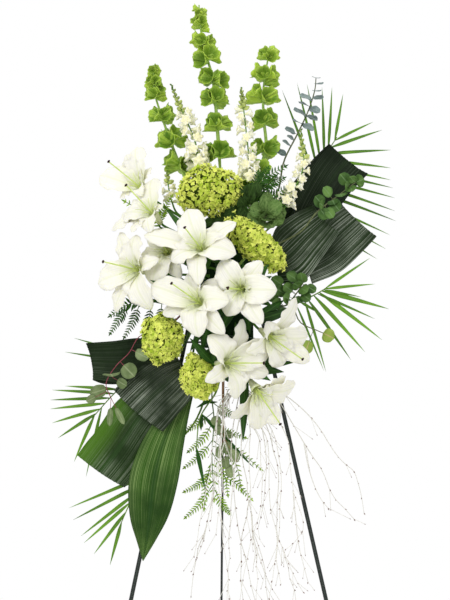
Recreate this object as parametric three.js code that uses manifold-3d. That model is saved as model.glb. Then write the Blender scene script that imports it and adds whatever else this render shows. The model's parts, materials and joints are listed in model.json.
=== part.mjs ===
// A standing funeral arrangement: white lilies, spikes of bells of Ireland and snapdragon, hydrangea heads,
// folded aspidistra leaves, palm, eucalyptus, fern and pale twigs in a foam block on a folding wire easel.
// Millimetres, +Z up, the flowers face -Y. The origin lies on the floor, under the middle of the whole.
import * as THREE from "three";
import { mergeVertices } from "three/addons/utils/BufferGeometryUtils.js";
import Module from "manifold-3d";

// Easel: a standard 54 inch wire easel, measured between the floor and its top bar.
const EASEL_TOP = 1360;
const TOP_HALF_WIDTH = 22;
const FRONT_FOOT_ACROSS = 315;
const FRONT_FOOT_REACH = 250;
const REAR_FOOT_REACH = 250;
const LEG_WIDTH = 10;
const LEG_THICKNESS = 4;
const LEG_WEB_THICKNESS = 2;
const REAR_ROD_RADIUS = 3;
const REAR_FOLD = THREE.MathUtils.degToRad(15);
const BAR_RADIUS = 2.5;
const BAR_SINK = 1;
const EYE_RADIUS = 2.2;
const BAR_DOWN = [150, 372];
const FLOOR_CUT_DEPTH = 60;

// Foam block and tray, in the leaning plane of the two front legs: down from the top bar, out from the plane.
const FOAM_HALF_WIDTH = 60;
const FOAM_DOWN = [105, 385];
const FOAM_OUT = [9, 99];
const TRAY_WALL = 2.4;
const TRAY_LIP = 14;
const HOLDER_ROOM = 4;
const SWING_ROOM = 12;
const TIE_RADIUS = 1;
const TIE_SLANT = 6;
const STEM_DEPTH = 30;
const STEM_STRAIGHT = 14;

// Flowers and leaves.
const LILY_TRUMPET = 46;
const LILY_PISTIL = 78;
const LILY_PETAL_HALF_WIDTH = 23;
const LILY_SEPAL_HALF_WIDTH = 16;
const LILY_STEM_RADIUS = 3;
const LILY_WALL = 1.8;
const LILY_MOUTH_RADIUS = 15;
const LILY_THROAT_DEPTH = 12;
const LILY_FILAMENTS = 3;
const LILY_FLOPPED = 85;
const BELL_WALL = 1.2;
const CUP_FLOOR = 6;
const BELL_SIDES = 4;
const BELL_FULL_WHORL = 29;
const FLORETS_ACROSS_SIDE = 3;
const BELL_TURN = 0.1;
const PALM_LEAFLET_THICKNESS = 1.2;
const LEAF_THICKNESS = 1.4;
const TWIG_RADIUS = 1.1;
const TWIG_BUD_RADIUS = 2.3;
const ROOT_SINK = 1.2;
const GAP = 0.35;
const GOLDEN_TURN = 2.4;
const SEED = 11;

// Places are read off the reference picture, 450 by 600, as a column, a row and a distance forward of the
// easel's middle plane in millimetres. The eye stands a little to the left of the easel's middle.
const MM_PER_PIXEL = 2.5;
const MIDDLE_COLUMN = 225;
const FLOOR_ROW = 739;
const EYE_DISTANCE = 3600;
const EYE_HEIGHT = 1097.5;
const EYE_TURN = THREE.MathUtils.degToRad(2.75);

const wasm = await Module();
wasm.setup();

const LEAN = Math.atan2(FRONT_FOOT_REACH, EASEL_TOP);
const SLOPE_LENGTH = Math.hypot(FRONT_FOOT_REACH, EASEL_TOP);
const DOWN = new THREE.Vector3(0, -Math.sin(LEAN), -Math.cos(LEAN));
const OUT = new THREE.Vector3(0, -Math.cos(LEAN), Math.sin(LEAN));
const ACROSS = new THREE.Vector3(1, 0, 0);

const GREEN_METAL = { color: 0x2c3a31, roughness: 0.4, metalness: 0.3 };
const FOAM_GREEN = { color: 0x3c5a3a, roughness: 0.95, metalness: 0 };
const TRAY_GREEN = { color: 0x2a4a30, roughness: 0.5, metalness: 0 };
const PETAL_WHITE = { color: 0xf4f2e8, roughness: 0.55, metalness: 0 };
const STEM_GREEN = { color: 0x5f8a35, roughness: 0.6, metalness: 0 };
const BELL_GREEN = { color: 0x86b53a, roughness: 0.6, metalness: 0 };
const SNAP_CREAM = { color: 0xf2efd8, roughness: 0.6, metalness: 0 };
const HYDRANGEA_GREEN = { color: 0xbccf45, roughness: 0.65, metalness: 0 };
const LEAF_DARK = { color: 0x24401f, roughness: 0.4, metalness: 0 };
const PALM_GREEN = { color: 0x3d7a1b, roughness: 0.5, metalness: 0 };
const GUM_BLUE = { color: 0x8a9ea0, roughness: 0.7, metalness: 0 };
const GUM_GREEN = { color: 0x5f7d57, roughness: 0.65, metalness: 0 };
const FERN_GREEN = { color: 0x3f7a2a, roughness: 0.6, metalness: 0 };
const TWIG_PALE = { color: 0xdcd8ca, roughness: 0.7, metalness: 0 };

// The point seen at a column and row of the picture, a distance forward of the easel's middle plane.
function at([column, row, forward]) {
  const nearness = (EYE_DISTANCE - forward) / EYE_DISTANCE;
  const side = (column - MIDDLE_COLUMN) * MM_PER_PIXEL * nearness;
  const height = EYE_HEIGHT + ((FLOOR_ROW - row) * MM_PER_PIXEL - EYE_HEIGHT) * nearness;
  return new THREE.Vector3(
    side * Math.cos(EYE_TURN) - forward * Math.sin(EYE_TURN),
    -side * Math.sin(EYE_TURN) - forward * Math.cos(EYE_TURN),
    height,
  );
}

// A direction given as across the picture, up and forward.
function facing([across, up, forward]) {
  return new THREE.Vector3(
    across * Math.cos(EYE_TURN) - forward * Math.sin(EYE_TURN),
    -across * Math.sin(EYE_TURN) - forward * Math.cos(EYE_TURN),
    up,
  ).normalize();
}

// A point of the leaning plane of the front legs, down from the top bar and out from the plane.
function onEasel(across, down, out) {
  return new THREE.Vector3(across, 0, EASEL_TOP).addScaledVector(DOWN, down).addScaledVector(OUT, out);
}

// Numbers from 0 to 1, the same on each run.
function seeded(seed) {
  let state = seed;
  return () => {
    state = (Math.imul(state, 1664525) + 1013904223) >>> 0;
    return state / 4294967296;
  };
}

const mix = (a, b, share) => a + (b - a) * share;
const step = (from, direction, length) => from.clone().addScaledVector(direction, length);

// Solids

function solidOf(points, faces) {
  const vertices = new Float32Array(points.flatMap((p) => [p.x, p.y, p.z]));
  let volume = 0;
  for (const [a, b, c] of faces) volume += points[a].dot(points[b].clone().cross(points[c]));
  const turned = volume < 0 ? faces.map(([a, b, c]) => [a, c, b]) : faces;
  const triVerts = new Uint32Array(turned.flat());
  return new wasm.Manifold(new wasm.Mesh({ numProp: 3, vertProperties: vertices, triVerts }));
}

// A closed skin over rings of points; a ring of one point is a tip. The diagonals of the second half of each
// ring mirror those of the first, so that the two faces of a thin blade split alike.
function skin(rings) {
  const points = rings.flat();
  const faces = [];
  let start = 0;
  for (let k = 0; k + 1 < rings.length; k++) {
    const here = rings[k].length;
    const next = rings[k + 1].length;
    const after = start + here;
    const count = Math.max(here, next);
    for (let j = 0; j < count; j++) {
      const i = (j + 1) % count;
      if (here === 1) faces.push([start, after + i, after + j]);
      else if (next === 1) faces.push([start + j, start + i, after]);
      else if (j < count / 2) {
        faces.push([start + j, start + i, after + i]);
        faces.push([start + j, after + i, after + j]);
      } else {
        faces.push([start + j, start + i, after + j]);
        faces.push([start + i, after + i, after + j]);
      }
    }
    start = after;
  }
  const last = points.length - rings.at(-1).length;
  for (let j = 1; j + 1 < rings[0].length; j++) faces.push([0, j + 1, j]);
  for (let j = 1; j + 1 < rings.at(-1).length; j++) faces.push([last, last + j, last + j + 1]);
  return solidOf(points, faces);
}

// Directions along a line of points.
function tangents(points) {
  return points.map((p, k) => {
    const before = points[Math.max(k - 1, 0)];
    const after = points[Math.min(k + 1, points.length - 1)];
    return after.clone().sub(before).normalize();
  });
}

// Points on a circle about a centre, from one direction towards the other; the turn of the first is in steps.
function circle(centre, side, other, radius, count, offset = 0) {
  return Array.from({ length: count }, (_, k) => {
    const turn = (2 * Math.PI * (k + offset)) / count;
    return step(step(centre, side, radius * Math.cos(turn)), other, radius * Math.sin(turn));
  });
}

// A rod along points, with a radius at each; its frame is carried along without twist.
function rod(points, radii, sides) {
  return (margin) => {
    const along = tangents(points);
    const path = points.map((p) => p.clone());
    path[0].addScaledVector(along[0], -margin);
    path.at(-1).addScaledVector(along.at(-1), margin);
    let side = new THREE.Vector3(0, 0, 1);
    if (Math.abs(along[0].z) > 0.8) side = new THREE.Vector3(0, 1, 0);
    const rings = path.map((centre, k) => {
      side.addScaledVector(along[k], -side.dot(along[k])).normalize();
      const other = along[k].clone().cross(side);
      const radius = (Array.isArray(radii) ? radii[k] : radii) + margin / Math.cos(Math.PI / sides);
      return circle(centre, side, other, radius, sides);
    });
    return skin(rings);
  };
}

// A blade along stations of { at, wide, half, thick, lift, sweep }: half its width, half its thickness, how
// far its edges rise along its normal and how far they lead its middle. A station with half 0 is a tip. A
// ridged blade is flat on top, with its midrib standing out below. A grown blade holds the plain one.
function blade(stations) {
  return (margin) => {
    const along = tangents(stations.map((s) => s.at));
    const rings = stations.map((s, k) => {
      if (!s.half) return [step(s.at, along[k], k ? margin : -margin)];
      const wide = s.wide.clone().addScaledVector(along[k], -s.wide.dot(along[k])).normalize();
      const normal = wide.clone().cross(along[k]);
      const lift = s.lift ?? 0;
      const lead = s.sweep ?? 0;
      const point = (a, b) => step(step(step(s.at, wide, a), normal, b), along[k], a ? lead : 0);
      const reach = s.half + 2 * margin;
      const deep = s.thick + 3 * margin;
      const edge = s.ridged ? s.thick : lift;
      const [left, right] = [point(-reach, edge), point(reach, edge)];
      if (s.ridged && !margin) return [left, right, point(0, -deep)];
      return [left, point(0, deep), right, point(0, -deep)];
    });
    return skin(rings);
  };
}

// A narrow leaflet pointed at both ends, three-sided in section.
function leaflet(from, to, wide, half, thick, rings = [0.28, 0.68]) {
  const along = to.clone().sub(from).normalize();
  const flat = wide.clone().addScaledVector(along, -wide.dot(along)).normalize();
  const normal = flat.clone().cross(along);
  return (margin) => {
    const section = (t) => {
      const centre = from.clone().lerp(to, t);
      const reach = half + 2 * margin;
      const left = step(step(centre, flat, -reach), normal, thick / 2);
      const right = step(step(centre, flat, reach), normal, thick / 2);
      const over = step(centre, normal, thick / 2 + 3 * margin);
      const under = step(centre, normal, -thick - 3 * margin);
      return margin ? [left, over, right, under] : [left, right, under];
    };
    return skin([[step(from, along, -margin)], ...rings.map(section), [step(to, along, margin)]]);
  };
}

// A round or oval leaf that narrows to its stalk at its root.
function roundLeaf(root, tip, wide, half, stalk) {
  const along = tip.clone().sub(root);
  const spot = (t) => root.clone().addScaledVector(along, t);
  const shape = { wide, half: half * 0.95, thick: LEAF_THICKNESS / 2, ridged: true };
  return blade([
    { at: step(root, along.clone().normalize(), -ROOT_SINK), half: 0 },
    { at: spot(mix(stalk, 1, 0.3)), ...shape },
    { at: spot(mix(stalk, 1, 0.72)), ...shape },
    { at: tip, half: 0 },
  ]);
}

// A thin-walled cup that opens from its apex towards its mouth.
function cup(apex, mouth, radius, wall, sides) {
  const along = mouth.clone().sub(apex).normalize();
  const side = new THREE.Vector3(-along.y, along.x, 0).normalize();
  const other = along.clone().cross(side);
  const ring = (centre, r) => circle(centre, side, other, r, sides, 0.5);
  return (margin) => {
    const grown = ring(step(mouth, along, margin), radius + margin * 1.5);
    if (margin) return skin([[step(apex, along, -margin)], grown]);
    return skin([[apex], ring(mouth, radius), ring(mouth, radius - wall), [step(apex, along, CUP_FLOOR)]]);
  };
}

// A ball stretched along three directions, from a sphere of triangles.
function egg(centre, axes, sizes, detail) {
  const base = new THREE.IcosahedronGeometry(1, detail);
  base.deleteAttribute("normal");
  base.deleteAttribute("uv");
  const merged = mergeVertices(base, 1e-4);
  const place = merged.getAttribute("position");
  const index = merged.getIndex().array;
  const faces = Array.from({ length: index.length / 3 }, (_, k) => [...index.slice(3 * k, 3 * k + 3)]);
  return (margin) => {
    const points = Array.from({ length: place.count }, (_, k) => {
      const p = new THREE.Vector3().fromBufferAttribute(place, k);
      const reach = (n) => p.getComponent(n) * (sizes[n] + margin);
      return axes.reduce((spot, axis, n) => step(spot, axis, reach(n)), centre);
    });
    return solidOf(points, faces);
  };
}

const join = (solids) => (solids.length === 1 ? solids[0] : wasm.Manifold.union(solids));
const made = (makers, margin) => makers.map((make) => make(margin));
const biggest = (solid) => solid.decompose().sort((a, b) => b.volume() - a.volume())[0];

// A hole in a face of the foam: how far across or out, and how far down, its middle lies.
function hole([face, u, v]) {
  if (face === "left") return { mouth: onEasel(-FOAM_HALF_WIDTH, v, u), normal: ACROSS.clone().negate() };
  if (face === "right") return { mouth: onEasel(FOAM_HALF_WIDTH, v, u), normal: ACROSS };
  if (face === "front") return { mouth: onEasel(u, v, FOAM_OUT[1]), normal: OUT };
  if (face === "top") return { mouth: onEasel(u, FOAM_DOWN[0], v), normal: DOWN.clone().negate() };
  return { mouth: onEasel(u, FOAM_DOWN[1], v), normal: DOWN };
}

// A line of straight runs that can be read at a share of its length.
class Line {
  constructor(points) {
    this.points = points;
  }
  place(share) {
    const far = THREE.MathUtils.clamp(share, 0, 1) * (this.points.length - 1);
    const k = Math.min(Math.floor(far), this.points.length - 2);
    return this.points[k].clone().lerp(this.points[k + 1], far - k);
  }
  along(share) {
    return this.place(Math.min(share + 0.02, 1)).sub(this.place(Math.max(share - 0.02, 0))).normalize();
  }
  nearest(spot) {
    const shares = Array.from({ length: 61 }, (_, k) => k / 60);
    const gap = (share) => this.place(share).distanceToSquared(spot);
    return this.place(shares.reduce((a, b) => (gap(b) < gap(a) ? b : a)));
  }
}

// A stem from its hole through the points it passes: all of its path, and the line from the first of them on.
function stemLine(holePlace, points, count) {
  const { mouth, normal } = hole(holePlace);
  const out = step(mouth, normal, STEM_STRAIGHT);
  const curve = new THREE.CatmullRomCurve3([out, ...points], false, "centripetal");
  const first = 1 / points.length;
  const share = (k) => mix(first, 1, count > 1 ? k / (count - 1) : 1);
  const shown = Array.from({ length: count }, (_, k) => curve.getPoint(share(k)));
  const hidden = [step(mouth, normal, -STEM_DEPTH), out, curve.getPoint(first / 2)];
  return { path: [...hidden, ...shown], line: new Line(shown) };
}

// Radii that run evenly from one value to another.
const taper = (path, from, to) => path.map((p, k) => mix(from, to, k / (path.length - 1)));

// Points along a smooth curve through the given ones.
function evenly(points, count) {
  const curve = new THREE.CatmullRomCurve3(points, false, "centripetal");
  return curve.getPoints(count - 1);
}

// Lilies: throat, the way the flower faces, hole, petal tips in turn round the throat, and leaf tips.
const LILIES = {
  a: {
    throat: [199, 246, 262],
    faces: [-0.37, 0.47, 0.8],
    hole: ["front", -14, 200],
    tips: [[186, 206], [235, 221], [235, 253], [198, 284], [170, 260], [141, 232]],
    leaves: [[165, 208, 200]],
  },
  b: {
    throat: [197, 301, 282],
    faces: [-0.5, 0.35, 0.79],
    hole: ["front", -22, 268],
    tips: [[148, 284], [186, 272], [228, 300], [223, 333], [198, 336], [160, 313]],
    leaves: [[150, 280, 215]],
  },
  c: {
    throat: [239.5, 289, 285],
    faces: [-0.28, 0.04, 0.96],
    hole: ["front", 10, 248],
    tips: [[220, 260], [261, 261], [276, 290], [261, 324], [226, 316], [199, 287]],
    leaves: [[235, 316, 215]],
  },
  d: {
    throat: [230, 363, 268],
    faces: [0.72, 0.05, 0.69],
    hole: ["front", -2, 322],
    tips: [[210, 335], [246, 319], [273, 347], [272, 374], [239, 399], [207, 381]],
    leaves: [],
  },
  e: {
    throat: [272, 338, 240],
    faces: [0.6, -0.42, 0.68],
    hole: ["front", 28, 300],
    tips: [[267, 322], [298, 299], [311, 338], [313, 364], [285, 368], [247, 353]],
    leaves: [[237, 328, 195]],
  },
  f: {
    throat: [259, 393, 232],
    faces: [0.45, -0.62, 0.64],
    hole: ["front", 22, 366],
    tips: [[298, 387], [287, 378], [275, 385], [232, 421], [261, 433], [280, 428]],
    leaves: [[245, 430, 190]],
  },
  g: {
    throat: [150, 211, 195],
    faces: [-0.55, 0.58, 0.6],
    hole: ["front", -38, 160],
    tips: [[151, 175], [163, 205], [150, 232], [130, 231], [120, 214], [108, 227]],
    leaves: [],
  },
  h: {
    throat: [138, 185, 150],
    faces: [-0.6, 0.55, 0.58],
    hole: ["front", -44, 128],
    tips: [[96, 172], [123, 151], [134, 143], [150, 166], [142, 196], [118, 196]],
    leaves: [],
  },
  i: {
    throat: [134, 269, 200],
    faces: [-0.65, 0.16, 0.74],
    hole: ["front", -46, 228],
    tips: [[94, 283], [116, 231], [134, 234], [158, 259], [150, 309], [112, 312]],
    leaves: [],
  },
  j: {
    throat: [166, 250, 180],
    faces: [-0.3, 0.4, 0.86],
    hole: ["front", -30, 212],
    tips: [[158, 232], [176, 236], [181, 252], [172, 272], [156, 268], [148, 250]],
    leaves: [],
  },
};

// A petal leaves the rim of the trumpet, spreads, and its tip turns back. Petals lie before sepals. One seen
// shorter than a whole petal is narrower too.
function petal(throat, face, tipPlace, isSepal) {
  const [, , forward] = throat;
  const centre = at(throat);
  const sight = facing([0, 0, 1]);
  const flat = at([...tipPlace, forward]).sub(centre);
  const tilt = (0.08 * flat.length() - flat.dot(face)) / Math.max(face.dot(sight), 0.35);
  const spread = flat.addScaledVector(sight, THREE.MathUtils.clamp(tilt, -40, 30));
  const outward = spread.clone().addScaledVector(face, -spread.dot(face)).normalize();
  const length = spread.length();
  const layer = isSepal ? -5 : 4;
  const place = (out, rise) => step(step(centre, outward, out), face, rise);
  const tip = centre.clone().add(spread).addScaledVector(face, -0.08 * length);
  const ahead = 0.5 * spread.dot(face);
  const curve = new THREE.CubicBezierCurve3(
    place(LILY_MOUTH_RADIUS - 2.5, -LILY_THROAT_DEPTH - 2),
    place(0.32 * length, 0.1 * length + layer),
    place(0.7 * length, 0.16 * length + layer + ahead),
    tip,
  );
  const wide = face.clone().cross(outward);
  const size = Math.min(1, length / LILY_FLOPPED);
  const half = (isSepal ? LILY_SEPAL_HALF_WIDTH : LILY_PETAL_HALF_WIDTH) * size;
  const shape = [[0, 0.28], [0.45, 0.86], [0.8, 0.9]];
  const stations = shape.map(([t, share]) => ({
    at: curve.getPoint(t),
    wide,
    half: half * share,
    thick: 0.5 + 0.4 * share,
    ridged: true,
  }));
  return blade([...stations, { at: tip, half: 0 }]);
}

// A bloom: an open trumpet and six petals in two layers.
function lilyBloom({ throat, faces, tips }) {
  const face = facing(faces);
  const centre = at(throat);
  const side = new THREE.Vector3(0, 0, 1).cross(face).normalize();
  const other = face.clone().cross(side);
  const ring = (rise, radius) => circle(step(centre, face, rise), side, other, radius, 5);
  const neck = LILY_STEM_RADIUS + 1.4;
  const trumpet = (margin) =>
    torus([
      ring(-LILY_TRUMPET, neck + LILY_WALL + margin),
      ring(-LILY_THROAT_DEPTH, LILY_MOUTH_RADIUS + margin),
      ring(-LILY_THROAT_DEPTH, LILY_MOUTH_RADIUS - LILY_WALL),
      ring(-LILY_TRUMPET, neck),
    ]);
  return [trumpet, ...tips.map((tip, k) => petal(throat, face, tip, k % 2 === 1))];
}

// The green parts of a lily: stem with pistil, leaves and filaments.
function lilyStem({ throat, faces, hole: holePlace, leaves }) {
  const face = facing(faces);
  const centre = at(throat);
  const onAxis = (rise) => step(centre, face, rise);
  const { path } = stemLine(holePlace, [onAxis(-LILY_TRUMPET - 12), onAxis(-LILY_TRUMPET + 6)], 2);
  const knob = LILY_PISTIL - LILY_TRUMPET * 0.4;
  const whole = [...path, onAxis(knob - 5), onAxis(knob + 2)];
  const stem = rod(whole, [...path.map(() => LILY_STEM_RADIUS), 1.6, 3.4], 4);
  const side = new THREE.Vector3().crossVectors(face, new THREE.Vector3(0, 0, 1)).normalize();
  const other = side.clone().cross(face);
  const ends = circle(onAxis(34), side, other, 17, LILY_FILAMENTS, 0.25);
  const filaments = ends.map((end) => rod([onAxis(-LILY_THROAT_DEPTH), end], [1, 0.8], 3));
  const root = path[2];
  const leafBlades = leaves.map((place) => {
    const tip = at(place);
    const wide = tip.clone().sub(root).cross(OUT).normalize();
    return roundLeaf(root, tip, wide, 10, 0.2);
  });
  return { stems: [stem, ...filaments], blades: leafBlades };
}

// Hydrangea heads: centre, half its size across, up and deep, its turn in the picture, and hole.
const HYDRANGEAS = {
  upper: { centre: [208, 192, 158], size: [74, 60, 50], turn: 0, hole: ["front", -6, 128] },
  right: { centre: [256, 245, 200], size: [80, 46, 46], turn: -42, hole: ["front", 24, 205] },
  left: { centre: [162, 338, 212], size: [55, 62, 48], turn: 0, hole: ["front", -42, 312] },
  lower: { centre: [201, 378, 215], size: [44, 56, 40], turn: 12, hole: ["front", -20, 356] },
};

// A ball of florets: its skin is a cube's grid blown up to a ball, where each floret is a cell whose four
// corners rise as petals, whose edges sink between florets and whose middle sinks a little to its eye.
function floretBall(middle, axes, sizes, random) {
  const cells = FLORETS_ACROSS_SIDE * 2;
  const places = new Map();
  const points = [];
  const vertex = (direction, i, j) => {
    const key = direction.map((v) => Math.round(v * 1000)).join();
    if (!places.has(key)) {
      const isTip = i % 2 === 0 && j % 2 === 0;
      const isEye = i % 2 === 1 && j % 2 === 1;
      const heights = isTip ? [0.98, 1.08] : isEye ? [0.9, 0.96] : [0.78, 0.84];
      const rise = mix(...heights, random());
      const unit = new THREE.Vector3(...direction.map((v) => Math.tan((v * Math.PI) / 4))).normalize();
      const reach = (k) => unit.getComponent(k) * sizes[k] * rise;
      const place = axes.reduce((spot, axis, k) => step(spot, axis, reach(k)), middle);
      places.set(key, points.push(place) - 1);
    }
    return places.get(key);
  };
  const faces = [];
  for (let side = 0; side < 6; side++) {
    const axis = side % 3;
    const sign = side < 3 ? 1 : -1;
    const corner = (i, j) => {
      const direction = [0, 0, 0];
      direction[axis] = sign;
      direction[(axis + 1) % 3] = ((2 * i) / cells - 1) * sign;
      direction[(axis + 2) % 3] = (2 * j) / cells - 1;
      return vertex(direction, i, j);
    };
    for (let i = 0; i < cells; i++) {
      for (let j = 0; j < cells; j++) {
        const [a, b, c, d] = [corner(i, j), corner(i + 1, j), corner(i + 1, j + 1), corner(i, j + 1)];
        if ((i + j) % 2 === 0) faces.push([a, b, c], [a, c, d]);
        else faces.push([a, b, d], [b, c, d]);
      }
    }
  }
  return solidOf(points, faces);
}

function hydrangea({ centre, size, turn, hole: holePlace }, random) {
  const middle = at(centre);
  const angle = THREE.MathUtils.degToRad(turn);
  const axes = [
    facing([Math.cos(angle), Math.sin(angle), 0]),
    facing([0, 0, 1]),
    facing([-Math.sin(angle), Math.cos(angle), 0]),
  ];
  const sizes = [size[0], size[2], size[1]];
  const ball = floretBall(middle, axes, sizes, random);
  const stem = rod(stemLine(holePlace, [step(middle, OUT, -size[2] * 0.5)], 1).path, 3.2, 3);
  return {
    stems: [stem],
    blades: [() => ball],
    outline: () => egg(middle, axes, sizes.map((s) => s * 1.09 + GAP), 1)(0),
  };
}

// Bells of Ireland: the line of each spike and, on it, the rows of its whorls with their width in pixels.
const BELLS = {
  left: {
    line: [[190, 205, 78], [186, 181, 76], [180, 166, 74], [170, 140, 70], [161, 114, 66], [155, 94, 62],
      [153, 65, 60]],
    whorls: [[167, 30], [150, 31], [132, 28], [113, 24], [94, 22], [78, 16]],
    hole: ["top", -38, 42],
  },
  middle: {
    line: [
      [222, 195, 84], [220, 167, 84], [219, 153, 82], [214, 121, 80], [213, 102, 80], [212, 77, 80],
      [207, 55, 80], [201, 38, 80], [199, 8, 80],
    ],
    whorls: [[162, 29], [142, 28], [122, 26], [102, 25], [84, 25], [66, 26], [48, 24], [31, 19], [15, 14]],
    hole: ["top", -8, 34],
  },
  right: {
    line: [[252, 205, 70], [261, 168, 72], [266, 147, 72], [264, 121, 72], [263, 94, 72], [265, 77, 72],
      [270, 46, 72]],
    whorls: [[146, 27], [128, 25], [110, 27], [92, 29], [73, 26], [54, 21]],
    hole: ["top", 24, 34],
    large: [[247, 192, 118, 30], [266, 172, 112, 26]],
  },
};

// A spike of whorls: in each, cups stand round the stem and turn by a fixed step from whorl to whorl.
function bellSpike({ line, whorls, hole: holePlace, large = [] }, random) {
  const { path, line: spike } = stemLine(holePlace, line.map(at), 10);
  const stem = rod(path, taper(path, 3.4, 1.5), 3);
  const cups = whorls.flatMap(([row, width], whorl) => {
    const spot = spike.place(shareAtRow(spike, row));
    const count = width > BELL_FULL_WHORL ? 4 : 3;
    const reach = (width * MM_PER_PIXEL) / 2;
    return Array.from({ length: count }, (_, k) => {
      const turn = (2 * Math.PI * (k + (whorl % 2) / 2)) / count + mix(-BELL_TURN, BELL_TURN, random());
      const away = new THREE.Vector3(Math.cos(turn), Math.sin(turn), mix(0.15, 0.5, random())).normalize();
      return cup(spot, step(spot, away, reach * 0.9), reach * 0.56, BELL_WALL, BELL_SIDES);
    });
  });
  const bigCups = large.map(([column, row, forward, width]) => {
    const mouth = at([column, row, forward]);
    const apex = spike.place(0.12);
    return [
      rod([apex, mouth.clone().lerp(apex, 0.45)], 1.6, 4),
      cup(mouth.clone().lerp(apex, 0.55), mouth, (width * MM_PER_PIXEL) / 2.3, BELL_WALL * 1.4, 7),
    ];
  });
  return { stems: [stem], blades: [...cups, ...bigCups.flat()] };
}

// How far along a line a row of the picture is reached, going up.
function shareAtRow(line, row) {
  const seenHeight = (p) => EYE_HEIGHT + ((p.z - EYE_HEIGHT) * EYE_DISTANCE) / (EYE_DISTANCE + p.y);
  const height = (FLOOR_ROW - row) * MM_PER_PIXEL;
  const shares = Array.from({ length: 101 }, (_, k) => k / 100);
  return shares.findLast((share) => seenHeight(line.place(share)) <= height) ?? 0;
}

// Snapdragons: the line of each spike, and the rows between which its florets open below the green buds.
const SNAPS = {
  left: {
    line: [[202, 185, 104], [198, 165, 102], [196, 145, 100], [186, 119, 96], [178, 102, 94], [171, 84, 92]],
    open: [168, 112],
    width: 27,
    florets: 8,
    buds: 5,
    hole: ["top", -24, 68],
  },
  middle: {
    line: [[250, 200, 112], [249, 181, 112], [249, 160, 112], [245, 121, 108], [241, 87, 104]],
    open: [182, 110],
    width: 24,
    florets: 9,
    buds: 5,
    hole: ["top", 10, 66],
  },
  right: {
    line: [[283, 210, 126], [286, 198, 126], [298, 182, 124], [304, 163, 120], [302, 147, 118],
      [301, 129, 116]],
    open: [206, 158],
    width: 22,
    florets: 7,
    buds: 4,
    hole: ["top", 40, 66],
  },
  small: {
    line: [[178, 214, 104], [172, 202, 106], [169, 190, 106], [167, 172, 104]],
    open: [202, 184],
    width: 18,
    florets: 3,
    buds: 3,
    hole: ["top", -50, 68],
  },
};

// An open snapdragon floret: a tube that flares to a ruffled rim, its lower lip longer.
function snapFloret(spot, away, reach) {
  const side = new THREE.Vector3(-away.y, away.x, 0).normalize();
  const up = away.clone().cross(side).multiplyScalar(-1);
  const rim = [[0, 0.85], [0.75, 0.35], [0.5, -0.95], [0, -0.75], [-0.5, -0.95], [-0.75, 0.35]];
  const ring = (margin, far, near) =>
    rim.map(([a, b], k) => {
      const size = reach * 0.58 + 4 * margin;
      return step(step(step(spot, away, reach * (k % 2 ? far : near)), side, a * size), up, b * size);
    });
  return (margin) =>
    margin
      ? skin([[step(spot, away, -2)], ring(margin, 0.84, 0.84), ring(margin, 1.04, 1.04)])
      : skin([[spot], ring(0, 1, 0.86), [step(spot, away, reach * 0.74)]]);
}

function snapdragon({ line, open, width, florets, buds, hole: holePlace }, random) {
  const { path, line: spike } = stemLine(holePlace, line.map(at), 6);
  const stem = rod(path, taper(path, 3, 1.5), 3);
  const low = shareAtRow(spike, open[0]);
  const high = shareAtRow(spike, open[1]);
  const reach = (width * MM_PER_PIXEL) / 2;
  const openFlorets = Array.from({ length: florets }, (_, k) => {
    const spot = spike.place(mix(low, high, (k + 0.5) / florets));
    const turn = GOLDEN_TURN * k;
    const away = new THREE.Vector3(Math.cos(turn), Math.sin(turn), 0.1).normalize();
    return snapFloret(spot, away, reach * mix(1, 0.72, k / florets) * mix(0.9, 1.05, random()));
  });
  const closedBuds = Array.from({ length: buds }, (_, k) => {
    const spot = spike.place(mix(high + 0.05, 0.96, k / (buds - 1)));
    const turn = GOLDEN_TURN * k;
    const away = new THREE.Vector3(Math.cos(turn), Math.sin(turn), 0.9).normalize();
    const wide = new THREE.Vector3(0, 0, 1).cross(away);
    return leaflet(spot, step(spot, away, mix(17, 10, k / buds)), wide, 4, 6, [0.55]);
  });
  return { stems: [stem], blades: [...openFlorets, ...closedBuds] };
}

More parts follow.
